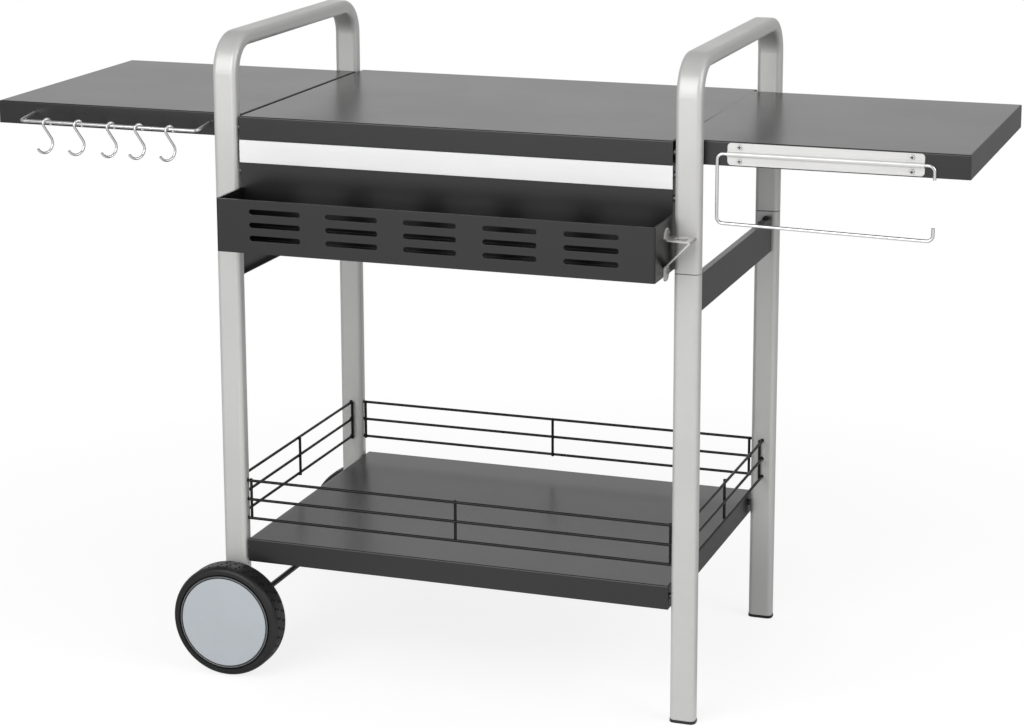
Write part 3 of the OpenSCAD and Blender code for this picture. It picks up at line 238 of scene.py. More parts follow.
class CartDetails(bpy.types.PropertyGroup):
    """Sizes of the small pieces that are modelled here."""

    seam_place: position("Seam's place", (0.30715, 0.0157, 0.79496),
                         "Middle of the seam's mouth between the centre and the right table")
    seam_width: length("Seam strip width", 0.0031, "Width of the filler strip at the table's top")
    seam_length: length("Seam strip length", 0.4052, "Length of the filler strip")
    seam_depth: length("Seam strip depth", 0.0018, "Depth of the filler strip's wedge")
    wing_place: position("Wing screw's place", (0.3275, -0.1893, 0.608),
                         "Where a wing screw leaves the front right leg")
    wing_spread: length("Wing screw distance", 0.41, "Distance of the front and rear wing screws")
    wing_span: length("Wing span", 0.0188, "Distance across the two wings")
    wing_reach: length("Wing reach", 0.0155, "How far the wings stand out from the leg")
    wing_thickness: length("Wing thickness", 0.0056, "Thickness of a wing")
    wing_notch: length("Wing notch", 0.005, "Depth of the notch between the wings")
    wing_turn: angle("Wing turn", 30.0, "Turn of the wings from level")
    boss_radius: length("Boss radius", 0.0052, "Radius of the wing screw's boss")
    boss_reach: length("Boss reach", 0.0085, "How far the boss stands out from the leg")
    stem_radius: length("Stem radius", 0.003, "Radius of the wing screw's stem")
    stem_length: length("Stem length", 0.0095, "Length of the stem inside the leg")
    opener_sheet: length("Opener sheet", 0.0018, "Thickness of the opener's strip")
    opener_tab: length("Opener tab", 0.0135, "Height of the opener's upper tab")
    opener_tab_width: length("Opener tab width", 0.023, "Width of the opener's tabs")
    opener_foot: length("Opener foot", 0.019, "Height of the opener's lower tab")
    opener_corner: length("Opener corner", 0.0095, "Radius of the corners of the opener's tabs")
    opener_plate_width: length("Opener plate width", 0.031, "Width of the opener's plate")
    opener_offset: length("Opener offset", 0.009, "How far the plate reaches past the tab in front")
    opener_root: length("Opener root", 0.005, "Length over which the tab widens to the plate")
    opener_fall: length("Opener fall", 0.0015, "Fall of the plate towards its nose")
    opener_rim: length("Opener rim", 0.0085, "Metal left round the hole in the plate")
    opener_hole_corner: length("Opener hole corner", 0.0035, "Size of the hole's cut corners")
    screw_radius: length("Screw head radius", 0.0035, "Radius of the head of a plate screw")
    screw_rise: length("Screw head height", 0.002, "Height of the head of a plate screw")
    screw_shank: length("Screw shank radius", 0.0017, "Radius of the shank of a plate screw")
    recess_length: length("Recess length", 0.004, "Length of a stroke of the screw's cross")
    recess_width: length("Recess width", 0.0014, "Width of a stroke of the screw's cross")
    recess_depth: length("Recess depth", 0.0015, "Depth of the screw's cross")
    bead_ring: length("Bead ring", 0.0664, "Radius of the ring that the rim's bead makes")
    bead_radius: length("Bead radius", 0.0009, "Radius of the bead on the rim's lip")
    bead_flat: share("Bead height", 0.8, "Height of the bead as a share of its radius")
    wire_radius: length("Guard wire radius", 0.002, "Radius of a guard's wires and uprights")
    upright_inset: length(
        "Upright inset", 0.0098, "Distance of an outer upright from the end of the wires")
    weld_radius: length("Weld radius", 0.0028, "Radius of the weld at a crossing of two wires")
    weld_flat: share("Weld flatness", 0.5, "Thickness of a weld as a share of its width")


class CartStage(bpy.types.PropertyGroup):
    """Floor, surroundings and lamps."""

    floor_size: length("Floor size", 60.0, "Side of the square floor")
    floor_drop: length("Floor drop", 0.0004, "Distance of the floor below the feet")
    floor_white: colour("Floor", (0.9, 0.9, 0.9), "Colour of the floor")
    floor_glow: share("Floor glow", 0.7, "Share of plain white in the floor that the camera sees")
    floor_lift: amount("Floor lift", 1.16, "Strength of that white, at which open floor is white")
    pool_inner: length("Shadow pool", 0.75, "Radius round the cart where the floor is shaded")
    pool_outer: length("Shadow pool edge", 1.5, "Radius past which the floor is all white")
    side_gloss: share("Side gloss", 0.31, "White that gloss shows of the sides and the ceiling")
    front_gloss: share("Front gloss", 0.8, "White that gloss shows of the floor in front")
    fill: share("Surroundings", 0.64, "Light that comes from all around")
    ceiling: share("Ceiling", 0.42, "Share of that light that comes from straight above")
    key_power: amount("Key lamp", 52.0, "Power of the large lamp in front, in watts")
    side_power: amount("Side lamp", 42.0, "Power of the lamp on the right, in watts")
    key_place: position("Key lamp's place", (-0.65, -2.75, 1.85), "Where the key lamp hangs")
    side_place: position("Side lamp's place", (3.3, -0.8, 2.3), "Where the side lamp hangs")
    lamp_size: length("Lamp size", 2.4, "Side of the square lamps")


class CartCamera(bpy.types.PropertyGroup):
    """Camera at the photograph's place."""

    stand: position("Stand", (1.22479, -3.46484, 1.40039), "Where the camera stands")
    azimuth: angle("Azimuth", 19.73, "Turn of the camera to the left")
    elevation: angle("Elevation", 12.19, "Tilt of the camera down")
    roll: angle("Roll", -0.27, "Turn of the camera about its own line of sight")
    lens: millimetres("Lens", 93.66, "Focal length in millimetres")
    sensor: millimetres("Sensor", 36.0, "Width of the sensor in millimetres")
    shift_right: bpy.props.FloatProperty(
        name="Shift X", description="Shift of the view to the right", default=0.0215)
    shift_up: bpy.props.FloatProperty(
        name="Shift Y", description="Shift of the view up", default=-0.125)


class Graph:
    """Adds nodes to a node tree and feeds their sockets with values or links."""

    def __init__(self, tree):
        self.tree = tree

    def add(self, kind, feeds=None, **settings):
        node = self.tree.nodes.new(kind)
        for name, value in settings.items():
            setattr(node, name, value)
        for socket, value in (feeds or {}).items():
            self.feed(node.inputs[socket], value)
        return node

    def feed(self, socket, value):
        if isinstance(value, bpy.types.NodeSocket):
            self.tree.links.new(value, socket)
        else:
            socket.default_value = value

    def math(self, operation, *values, clamp=False):
        node = self.add("ShaderNodeMath", dict(enumerate(values)), operation=operation,
                        use_clamp=clamp)
        return node.outputs[0]

    def times(self, first, second):
        return self.math("MULTIPLY", first, second)

    def plus(self, first, second):
        return self.math("ADD", first, second)

    def vector(self, operation, *values):
        node = self.add("ShaderNodeVectorMath", dict(enumerate(values)), operation=operation)
        return node.outputs["Value" if operation in ("DOT_PRODUCT", "LENGTH") else "Vector"]

    def scaled(self, vector, factor):
        node = self.add("ShaderNodeVectorMath", {0: vector, "Scale": factor}, operation="SCALE")
        return node.outputs["Vector"]

    def noise(self, vector, scale, detail=2.0, roughness=0.5):
        node = self.add("ShaderNodeTexNoise", {
            "Vector": vector, "Scale": scale, "Detail": detail, "Roughness": roughness})
        return node.outputs["Fac"]

    def ranged(self, value, low, high, to_low=0.0, to_high=1.0):
        node = self.add("ShaderNodeMapRange", {
            "Value": value, "From Min": low, "From Max": high, "To Min": to_low,
            "To Max": to_high}, interpolation_type="SMOOTHSTEP")
        return node.outputs["Result"]

    def spread(self, noise, to_low=-1.0, to_high=1.0):
        return self.ranged(noise, NOISE_LOW, NOISE_HIGH, to_low, to_high)

    def cells(self, vector, scale):
        """Three random values for each cell, such as a flake or a crystal."""
        pattern = self.add("ShaderNodeTexVoronoi", {"Vector": vector, "Scale": scale})
        return self.add("ShaderNodeSeparateColor", {0: pattern.outputs["Color"]}).outputs

    def blended(self, factor, first, second):
        node = self.add("ShaderNodeMix", {0: factor, 2: first, 3: second}, data_type="FLOAT")
        return node.outputs[0]

    def layered(self, factor, under, over):
        node = self.add("ShaderNodeMixShader", {0: factor, 1: under, 2: over})
        return node.outputs[0]

    def grouped(self, name, feeds):
        """The outputs of a shader group, which is made when a material first asks for it."""
        tree = bpy.data.node_groups.get(name) or GROUPS[name]()
        return self.add("ShaderNodeGroup", feeds, node_tree=tree).outputs

    def glowing(self, strength):
        return self.add("ShaderNodeEmission", {"Strength": strength}).outputs[0]

    def texture_place(self, output="Object"):
        return self.add("ShaderNodeTexCoord").outputs[output]

    def softened(self, radius):
        return self.add("ShaderNodeBevel", {"Radius": radius}, samples=4).outputs[0]


def shader_group(name, inputs, outputs):
    """An empty shader group with these sockets, its graph, its inputs and its output node's."""
    tree = bpy.data.node_groups.new(name, "ShaderNodeTree")
    kinds = {3: "NodeSocketVector", 4: "NodeSocketColor"}
    for label, value in inputs.items():
        kind = kinds[len(value)] if isinstance(value, tuple) else "NodeSocketFloat"
        socket = tree.interface.new_socket(label, in_out="INPUT", socket_type=kind)
        socket.default_value = value
    for label, kind in outputs.items():
        tree.interface.new_socket(label, in_out="OUTPUT", socket_type=kind)
    graph = Graph(tree)
    return tree, graph, graph.add("NodeGroupInput").outputs, graph.add("NodeGroupOutput").inputs


def grain_group(name, inputs):
    """An empty shader group with the sockets that every finish has, and its own inputs."""
    shared = {"Color": (0.5, 0.5, 0.5, 1.0), "Roughness": 0.4, "Gloss Spread": 0.1,
              "Edge Radius": 0.0004}
    return shader_group(name, {**shared, **inputs}, {
        "Color": "NodeSocketColor", "Roughness": "NodeSocketFloat", "Normal": "NodeSocketVector"})


def feed_results(graph, given, result, shade, gloss, normal, relief=None, depth=None):
    """Feeds a finish's results: shaded colour, uneven gloss and the normal with its relief."""
    graph.feed(result["Color"], graph.scaled(given["Color"], graph.plus(shade, 1.0)))
    uneven = graph.times(gloss, given["Gloss Spread"])
    graph.feed(result["Roughness"], graph.math("ADD", given["Roughness"], uneven, clamp=True))
    if relief is not None:
        normal = graph.add("ShaderNodeBump", {
            "Strength": 1.0, "Distance": depth, "Height": relief, "Normal": normal}).outputs[0]
    graph.feed(result["Normal"], normal)


def opaque(colour_of_three):
    """A colour with its alpha."""
    return (*colour_of_three, 1.0)


def coat_grain_group():
    """Sprayed coat: orange peel, faint patches of shade and gloss, softened edges with a painted
    highlight.
    """
    tree, graph, given, result = grain_group("Coat Grain", {
        "Shade Spread": 0.04, "Peel Scale": 900.0, "Peel Depth": 0.00002, "Patch Scale": 9.0,
        "Gloss Spread": 0.05, "Flake Spread": 0.0, "Edge Radius": 0.0005, "Edge Light": 0.05})
    spot = graph.texture_place()
    patch = graph.spread(graph.noise(spot, given["Patch Scale"], detail=4.0, roughness=0.6))
    peel = graph.noise(spot, given["Peel Scale"])
    flakes = graph.cells(spot, graph.times(given["Peel Scale"], FLAKES_PER_BUMP))
    flake = graph.plus(flakes[0], -0.5)
    soft = graph.softened(given["Edge Radius"])
    straight = graph.add("ShaderNodeNewGeometry").outputs["Normal"]
    turn = graph.vector("DOT_PRODUCT", soft, straight)
    edge = graph.ranged(turn, EDGE_NONE, EDGE_ALL)
    shade = graph.plus(graph.times(patch, given["Shade Spread"]),
                       graph.times(flake, given["Flake Spread"]))
    # Edge Light is a painted highlight on the softened edges
    shade = graph.plus(shade, graph.times(edge, given["Edge Light"]))
    feed_results(graph, given, result, shade, patch, soft, peel, given["Peel Depth"])
    return tree


def brushed_grain_group():
    """Brushed or drawn metal: fine streaks along one direction, in shade, gloss and depth."""
    tree, graph, given, result = grain_group("Brushed Grain", {
        "Streak Scale": (8.0, 1500.0, 1500.0), "Shade Spread": 0.08, "Streak Depth": 0.00001})
    spot = graph.texture_place()
    along = graph.vector("MULTIPLY", spot, given["Streak Scale"])
    streaks = graph.noise(along, 1.0, detail=3.0, roughness=0.6)
    streak = graph.spread(streaks)
    patches = graph.spread(graph.noise(spot, BRUSHED_PATCHES, detail=3.0))
    shade = graph.times(graph.plus(streak, graph.times(patches, 0.5)), given["Shade Spread"])
    feed_results(graph, given, result, shade, streak, graph.softened(given["Edge Radius"]),
                 streaks, given["Streak Depth"])
    return tree


def plated_spangle_group():
    """Plated steel: small crystals of slightly different shade and gloss."""
    tree, graph, given, result = grain_group("Plated Spangle", {
        "Crystal Scale": 900.0, "Shade Spread": 0.15, "Edge Radius": 0.0003})
    spot = graph.texture_place()
    shades, glosses, _ = graph.cells(spot, given["Crystal Scale"])
    patches = graph.spread(graph.noise(spot, PLATED_PATCHES, detail=3.0), -0.5, 0.5)
    shade = graph.plus(graph.plus(shades, -0.5), patches)
    feed_results(graph, given, result, graph.times(shade, given["Shade Spread"]),
                 graph.plus(glosses, -0.5), graph.softened(given["Edge Radius"]))
    return tree


def moulded_grain_group():
    """Moulded plastic or rubber: fine matt grain, faint bloom in patches, soft edges."""
    tree, graph, given, result = grain_group("Moulded Grain", {
        "Bloom": 0.1, "Bloom Scale": 25.0, "Grain Scale": 1600.0, "Grain Depth": 0.00003,
        "Gloss Spread": 0.08, "Edge Radius": 0.0005})
    spot = graph.texture_place()
    clouds = graph.noise(spot, given["Bloom Scale"], detail=5.0, roughness=0.65)
    bloom = graph.ranged(clouds, BLOOM_START, BLOOM_FULL, -0.5, 1.0)
    grain = graph.noise(spot, given["Grain Scale"], detail=3.0, roughness=0.6)
    feed_results(graph, given, result, graph.times(bloom, given["Bloom"]), bloom,
                 graph.softened(given["Edge Radius"]), grain, given["Grain Depth"])
    return tree


def recess_shade_group():
    """Painted shade that darkens a colour in recesses and where one piece meets the next."""
    tree, graph, given, result = shader_group("Recess Painted Shade", {
        "Color": (0.6, 0.6, 0.6, 1.0), "Shade Colour": (0.01, 0.01, 0.01, 1.0), "Reach": 0.0021,
    }, {"Color": "NodeSocketColor"})
    openness = graph.add("ShaderNodeAmbientOcclusion", {"Distance": given["Reach"]},
                         samples=12).outputs["AO"]
    unshaded = graph.ranged(openness, SHADE_FULL, SHADE_NONE)
    mixed = graph.add("ShaderNodeMix", {0: unshaded, 6: given["Shade Colour"], 7: given["Color"]},
                      data_type="RGBA").outputs[2]
    graph.feed(result["Color"], mixed)
    return tree


GROUPS = {
    "Coat Grain": coat_grain_group,
    "Brushed Grain": brushed_grain_group,
    "Plated Spangle": plated_spangle_group,
    "Moulded Grain": moulded_grain_group,
    "Recess Painted Shade": recess_shade_group,
}


def finish_material(context, finish):
    """The material of a finish, made when a piece first asks for it."""
    material = bpy.data.materials.get(finish)
    if material:
        return material
    *_, group_name, feeds, constants = FINISHES[finish]
    base, roughness = (getattr(context.scene.cart_finishes, name)
                       for name in setting_names(finish))
    material = bpy.data.materials.new(finish)
    material.use_nodes = True
    graph = Graph(material.node_tree)
    grain = graph.grouped(group_name, {"Color": opaque(base), "Roughness": roughness, **feeds})
    shade = grain["Color"]
    # Painted shade in the recesses of these finishes
    if finish in RECESS_SHADED_FINISHES:
        shade = graph.grouped("Recess Painted Shade", {"Color": shade})["Color"]
    shader = material.node_tree.nodes["Principled BSDF"]
    for socket, value in {"Base Color": shade, "Roughness": grain["Roughness"],
                          "Normal": grain["Normal"], **constants}.items():
        graph.feed(shader.inputs[socket], value)
    return material


def dress(context, finish, *names):
    """Gives CAD nodes the material of this finish."""
    for name in names:
        for slot in NODES[name].material_slots:
            slot.material = finish_material(context, finish)


def deselect():
    bpy.ops.object.select_all(action="DESELECT")


def only(piece):
    """Selects one object and makes it the active one."""
    deselect()
    piece.select_set(True)
    bpy.context.view_layer.objects.active = piece


def remove(piece):
    """Deletes a piece that was only a pattern or a cutter."""
    only(piece)
    bpy.ops.object.delete()


def settled(piece):
    """Moves an object's place, turn and size into its mesh."""
    only(piece)
    bpy.ops.object.transform_apply(location=True, rotation=True, scale=True)
    return piece


def started(primitive, scale=(1.0, 1.0, 1.0), **settings):
    """A new primitive to shape a piece from, with its place and size in its mesh."""
    deselect()
    getattr(bpy.ops.mesh, "primitive_%s_add" % primitive)(**settings)
    bpy.context.object.scale = scale
    return settled(bpy.context.object)


def start_edit(piece, mode="FACE"):
    """Opens a piece in edit mode with nothing selected."""
    only(piece)
    bpy.ops.object.mode_set(mode="EDIT")
    bpy.ops.mesh.select_mode(type=mode)
    bpy.ops.mesh.select_all(action="DESELECT")


def pick_faces(piece, test):
    """Selects the faces whose middle passes the test, and no others."""
    bpy.ops.mesh.select_all(action="DESELECT")
    mesh = bmesh.from_edit_mesh(piece.data)
    for face in mesh.faces:
        if test(face.calc_center_median()):
            face.select_set(True)
    bmesh.update_edit_mesh(piece.data)


def pick_points(piece, test):
    """Selects the points that pass the test, and no others."""
    bpy.ops.mesh.select_all(action="DESELECT")
    mesh = bmesh.from_edit_mesh(piece.data)
    for point in mesh.verts:
        if test(point.co):
            point.select_set(True)
    mesh.select_flush(True)
    bmesh.update_edit_mesh(piece.data)


def resize(x, y, z, centre=(0.0, 0.0, 0.0)):
    """Resizes what is selected in edit mode, about this centre."""
    bpy.ops.transform.resize(value=(x, y, z), center_override=centre)


def end_edit():
    bpy.ops.object.mode_set(mode="OBJECT")


def corners(box):
    """The lowest and the highest corner of a box, as vectors."""
    return (Vector(corner) for corner in box)


def modified(piece, kind, **settings):
    """Adds a modifier and applies it."""
    only(piece)
    modifier = piece.modifiers.new(kind.title(), kind)
    for name, value in settings.items():
        setattr(modifier, name, value)
    bpy.ops.object.modifier_apply(modifier=modifier.name)
    return piece


def rounded(piece, width, segments, angle_limit=30.0):
    """Rounds the edges that turn by more than this angle."""
    return modified(piece, "BEVEL", width=width, segments=segments, limit_method="ANGLE",
                    angle_limit=math.radians(angle_limit))


def round_bar(radius, end, sides, narrow=1.0):
    """A round bar along Y, from zero to its end, which can be narrower."""
    bar = started("cylinder", radius=radius, depth=abs(end), vertices=sides,
                  rotation=ALONG_Y, location=(0.0, end / 2, 0.0))
    start_edit(bar)
    pick_faces(bar, lambda spot: spot.y / end > END)
    resize(narrow, 1.0, narrow, (0.0, end, 0.0))
    end_edit()
    return bar


def copied(piece, matrix):
    """A copy with its own mesh, moved by this matrix."""
    only(piece)
    bpy.ops.object.duplicate(linked=False)
    copy = bpy.context.object
    copy.matrix_world = matrix
    return settled(copy)


def joined(pieces):
    """One object of several."""
    deselect()
    for piece in pieces:
        piece.select_set(True)
    bpy.context.view_layer.objects.active = pieces[0]
    bpy.ops.object.join()
    return bpy.context.object


def repeated(pattern, matrices):
    """One object of a pattern's copies at these places. The pattern goes."""
    copies = [copied(pattern, matrix) for matrix in matrices]
    remove(pattern)
    return joined(copies)


def mounted(context, piece, name, finish, smooth=35.0, body="cart"):
    """Names, shades and dresses a finished piece and lets it ride on its body."""
    only(piece)
    bpy.ops.object.shade_smooth_by_angle(angle=math.radians(smooth))
    piece.name = name
    piece.data.name = name
    piece.data.materials.clear()
    piece.data.materials.append(finish_material(context, finish))
    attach(piece, body)
    return piece


class CART_OT_camera(bpy.types.Operator):
    """Place the camera where the photograph was taken from"""

    bl_idname = "cart.camera"
    bl_label = "Camera"

    def execute(self, context):
        setup = context.scene.cart_camera
        deselect()
        bpy.ops.object.camera_add()
        camera = context.object
        camera.name = "Camera"
        turn = (Matrix.Rotation(setup.azimuth, 4, "Z")
                @ Matrix.Rotation(math.pi / 2 - setup.elevation, 4, "X")
                @ Matrix.Rotation(setup.roll, 4, "Z"))
        camera.matrix_world = Matrix.Translation(setup.stand) @ turn
        camera.data.sensor_width = setup.sensor
        camera.data.lens = setup.lens
        camera.data.shift_x = setup.shift_right
        camera.data.shift_y = setup.shift_up
        context.scene.camera = camera
        return {"FINISHED"}


def rear_white(graph, toward, side, front):
    """White straight behind the cart, with other shades beside it and in front of it."""
    rear = graph.vector("DOT_PRODUCT", toward, CART_REAR)
    behind = graph.ranged(rear, REAR_START, REAR_FULL, side, 1.0)
    ahead = graph.ranged(rear, FRONT_START, FRONT_FULL, 0.0, front - side)
    return graph.plus(behind, ahead)


class CART_OT_stage(bpy.types.Operator):
    """Add the pale floor, the white surroundings and the soft lamps"""

    bl_idname = "cart.stage"
    bl_label = "Stage"

    def execute(self, context):
        setup = context.scene.cart_stage
        context.scene.view_settings.view_transform = "Standard"
        self.add_surroundings(context, setup)
        self.add_floor(context, setup)
        low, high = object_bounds()
        middle = (low + high) / 2
        self.add_lamp(context, "Key Lamp", setup.key_place, middle, setup.key_power)
        self.add_lamp(context, "Side Lamp", setup.side_place, middle, setup.side_power)
        return {"FINISHED"}

    @staticmethod
    def add_surroundings(context, setup):
        """White for the camera, white behind the cart for gloss, an even fill for all else."""
        world = bpy.data.worlds.new("White Studio")
        world.use_nodes = True
        graph = Graph(world.node_tree)
        path = graph.add("ShaderNodeLightPath").outputs
        toward = graph.texture_place("Generated")
        gloss = rear_white(graph, toward, setup.side_gloss, setup.side_gloss)
        rise = graph.vector("DOT_PRODUCT", toward, (0.0, 0.0, 1.0))
        fill = graph.ranged(rise, CEILING_START, 1.0, setup.fill, setup.fill * setup.ceiling)
        seen = graph.math("MAXIMUM", path["Is Camera Ray"], path["Is Transmission Ray"])
        strength = graph.blended(path["Is Glossy Ray"], fill, gloss)
        strength = graph.blended(seen, strength, 1.0)
        background = world.node_tree.nodes["Background"]
        graph.feed(background.inputs["Color"], (1.0, 1.0, 1.0, 1.0))
        graph.feed(background.inputs["Strength"], strength)
        context.scene.world = world

    @staticmethod
    def add_floor(context, setup):
        """A plain pale floor that keeps the cart's shadow and fades to white round it."""
        deselect()
        bpy.ops.mesh.primitive_plane_add(
            size=setup.floor_size, location=(0.0, 0.0, -setup.floor_drop))
        floor = context.object
        floor.name = "Floor"
        material = bpy.data.materials.new("Pale Floor")
        material.use_nodes = True
        graph = Graph(material.node_tree)
        material.node_tree.nodes.remove(material.node_tree.nodes["Principled BSDF"])
        path = graph.add("ShaderNodeLightPath").outputs
        place = graph.texture_place()
        plain = graph.add("ShaderNodeBsdfDiffuse", {"Color": opaque(setup.floor_white)}).outputs[0]
        lifted = graph.layered(setup.floor_glow, plain, graph.glowing(setup.floor_lift))
        far = graph.ranged(graph.vector("LENGTH", place), setup.pool_inner, setup.pool_outer)
        pool = graph.layered(far, lifted, graph.glowing(1.0))
        gloss = rear_white(graph, graph.vector("NORMALIZE", place), setup.side_gloss,
                           setup.front_gloss)
        gloss = graph.blended(path["Is Transmission Ray"], gloss, 1.0)
        seen = graph.math("MAXIMUM", path["Is Glossy Ray"], path["Is Transmission Ray"])
        mirrored = graph.layered(seen, plain, graph.glowing(gloss))
        surface = graph.layered(path["Is Camera Ray"], mirrored, pool)
        graph.feed(material.node_tree.nodes["Material Output"].inputs["Surface"], surface)
        floor.data.materials.append(material)
        floor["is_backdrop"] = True

    @staticmethod
    def add_lamp(context, name, place, target, power):
        """A square soft lamp that looks at the cart."""
        deselect()
        aim = (target - Vector(place)).to_track_quat("-Z", "Y").to_euler()
        bpy.ops.object.light_add(type="AREA", location=place, rotation=aim)
        lamp = context.object
        lamp.name = name
        lamp.data.shape = "SQUARE"
        lamp.data.size = context.scene.cart_stage.lamp_size
        lamp.data.energy = power


class CART_OT_frames(bpy.types.Operator):
    """Paint the tube frames and legs, and finish what is inside their joints"""

    bl_idname = "cart.frames"
    bl_label = "Frames and legs"

    def execute(self, context):
        dress(context, "Silver Paint", "upper_frame_left", "upper_frame_right",
              "leg_front_left", "leg_rear_left", "leg_front_right", "leg_rear_right")
        dress(context, "Black Plastic", "joint_spigots")
        dress(context, "Dull Plating", "wing_nuts")
        return {"FINISHED"}


class CART_OT_sheets(bpy.types.Operator):
    """Coat the tables, the shelf, the rails, the panel and the basket"""

    bl_idname = "cart.sheets"
    bl_label = "Tables, shelf, rails, panel and basket"

    def execute(self, context):
        dress(context, "Anthracite Coat", "centre_table", "side_table_left",
              "side_table_right", "lower_shelf", "side_rail_left", "side_rail_right",
              "front_panel", "basket")
        dress(context, "Bright Trim", "trim_strip")
        return {"FINISHED"}


class CART_OT_seam_strip(bpy.types.Operator):
    """Lay the filler strip in the seam between the centre table and the right table"""

    bl_idname = "cart.seam_strip"
    bl_label = "Seam strip"

    def execute(self, context):
        sizes = context.scene.cart_details
        top = Vector(sizes.seam_place)
        depth = sizes.seam_depth
        strip = started("cube", size=1.0, location=top - Vector((0.0, 0.0, depth / 2)),
                        scale=(sizes.seam_width, sizes.seam_length, depth))
        start_edit(strip)
        pick_faces(strip, lambda spot: spot.z < top.z - END * depth)
        resize(WEDGE_FOOT, 1.0, 1.0, top)
        end_edit()
        rounded(strip, width=0.00012, segments=2)
        mounted(context, strip, "table_seam_strip", "Anthracite Coat")
        return {"FINISHED"}


class CART_OT_wing_screws(bpy.types.Operator):
    """Model the wing screws that lock the plug-in legs"""

    bl_idname = "cart.wing_screws"
    bl_label = "Wing screws"

    def execute(self, context):
        sizes = context.scene.cart_details
        stem = round_bar(sizes.stem_radius, -sizes.stem_length, sides=24, narrow=TIP)
        screw = joined([self.boss(sizes), stem, self.wings(sizes)])
        x, y, z = sizes.wing_place
        middle_y = y + sizes.wing_spread / 2
        around = (Matrix.Translation((0.0, middle_y, 0.0)) @ Matrix.Rotation(math.pi, 4, "Z")
                  @ Matrix.Translation((0.0, -middle_y, 0.0)))
        places = []
        for side in (-x, x):
            places.append(Matrix.Translation((side, y, z)))
            places.append(around @ Matrix.Translation((-side, y, z)))
        screws = mounted(context, repeated(screw, places), "wing_screw_set", "Black Plastic",
                         smooth=50.0)
        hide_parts("wing_screws")
        return {"FINISHED"}

    @staticmethod
    def boss(sizes):
        """The round boss, narrower and softly hollowed at its outer end."""
        reach = sizes.boss_reach
        boss = round_bar(sizes.boss_radius, reach, sides=40, narrow=CROWN)
        start_edit(boss)
        pick_faces(boss, lambda spot: spot.y > END * reach)
        bpy.ops.mesh.inset(thickness=sizes.boss_radius * HOLLOW_RIM)
        bpy.ops.transform.translate(value=(0.0, -sizes.boss_radius * HOLLOW_DEPTH, 0.0))
        end_edit()
        return rounded(boss, width=0.0006, segments=3)

    @staticmethod
    def wings(sizes):
        """The two wings, thicker at their ears, with a notch between them."""
        root = sizes.boss_reach * WING_ROOT
        reach = sizes.wing_reach
        span = sizes.wing_span
        wings = started("cube", size=1.0, location=(0.0, (root + reach) / 2, 0.0),
                        scale=(span, reach - root, sizes.wing_thickness))
        start_edit(wings)
        across, outward = (1.0, 0.0, 0.0), (0.0, 1.0, 0.0)
        for cut_x in (-WING_CUT, 0.0, WING_CUT):
            bpy.ops.mesh.select_all(action="SELECT")
            bpy.ops.mesh.bisect(plane_co=(cut_x * span / 2, 0.0, 0.0), plane_no=across)
        bpy.ops.mesh.select_all(action="SELECT")
        bpy.ops.mesh.bisect(plane_co=(0.0, WING_CUT * reach, 0.0), plane_no=outward)
        bpy.ops.mesh.select_mode(type="VERT")
        pick_points(wings, lambda spot: abs(spot.x) < NEAR and spot.y > END * reach)
        bpy.ops.transform.translate(value=(0.0, -sizes.wing_notch, 0.0))
        pick_points(wings, lambda spot: abs(spot.y - root) < NEAR)
        resize(ROOT_WIDTH, 1.0, ROOT_THICKNESS, (0.0, root, 0.0))
        pick_points(wings, lambda spot: abs(spot.x) < NEAR)
        resize(1.0, 1.0, WAIST)
        end_edit()
        rounded(wings, width=0.0007, segments=2)
        modified(wings, "SUBSURF", levels=2, render_levels=2)
        wings.rotation_euler = (0.0, sizes.wing_turn, 0.0)
        return settled(wings)


class CART_OT_guards(bpy.types.Operator):
    """Coat the wire guards, the axle and its spacers"""

    bl_idname = "cart.guards"
    bl_label = "Guards and axle"

    def execute(self, context):
        dress(context, "Black Wire Coat", *GUARDS, "axle", "axle_spacers")
        return {"FINISHED"}


class CART_OT_welds(bpy.types.Operator):
    """Set the weld nuggets where the guards' wires cross their uprights"""

    bl_idname = "cart.welds"
    bl_label = "Weld nuggets"

    def execute(self, context):
        sizes = context.scene.cart_details
        nugget = started("uv_sphere", segments=16, ring_count=9, radius=sizes.weld_radius,
                         rotation=ALONG_Y)
        start_edit(nugget, "VERT")
        bpy.ops.mesh.select_all(action="SELECT")
        resize(1.0, sizes.weld_flat, 1.0)
        pick_points(nugget, lambda spot: spot.length < WELD_CROWN * sizes.weld_radius)
        resize(1.0, CROWN_FLAT, 1.0)
        end_edit()
        for name, welds in self.crossings(sizes):
            copies = [copied(nugget, weld) for weld in welds]
            mounted(context, joined(copies), name, "Black Wire Coat")
        remove(nugget)
        return {"FINISHED"}

    @staticmethod
    def crossings(sizes):
        """For each guard, the places of its welds, found from the guard's box."""
        for name in GUARDS:
            low, high = corners(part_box(name))
            middle, half = (low + high) / 2, (high - low) / 2
            lengthwise = half.x > half.y
            along = Vector((1.0, 0.0, 0.0) if lengthwise else (0.0, 1.0, 0.0))
            turn = Matrix.Rotation(0.0 if lengthwise else math.pi / 2, 4, "Z")
            along *= max(half.x, half.y) - sizes.upright_inset
            up = Vector((0.0, 0.0, half.z - sizes.wire_radius))
            yield name + "_welds", [
                Matrix.Translation(middle + along * post + up * row) @ turn
                for post in (-1, 0, 1) for row in (-1, 0, 1)]


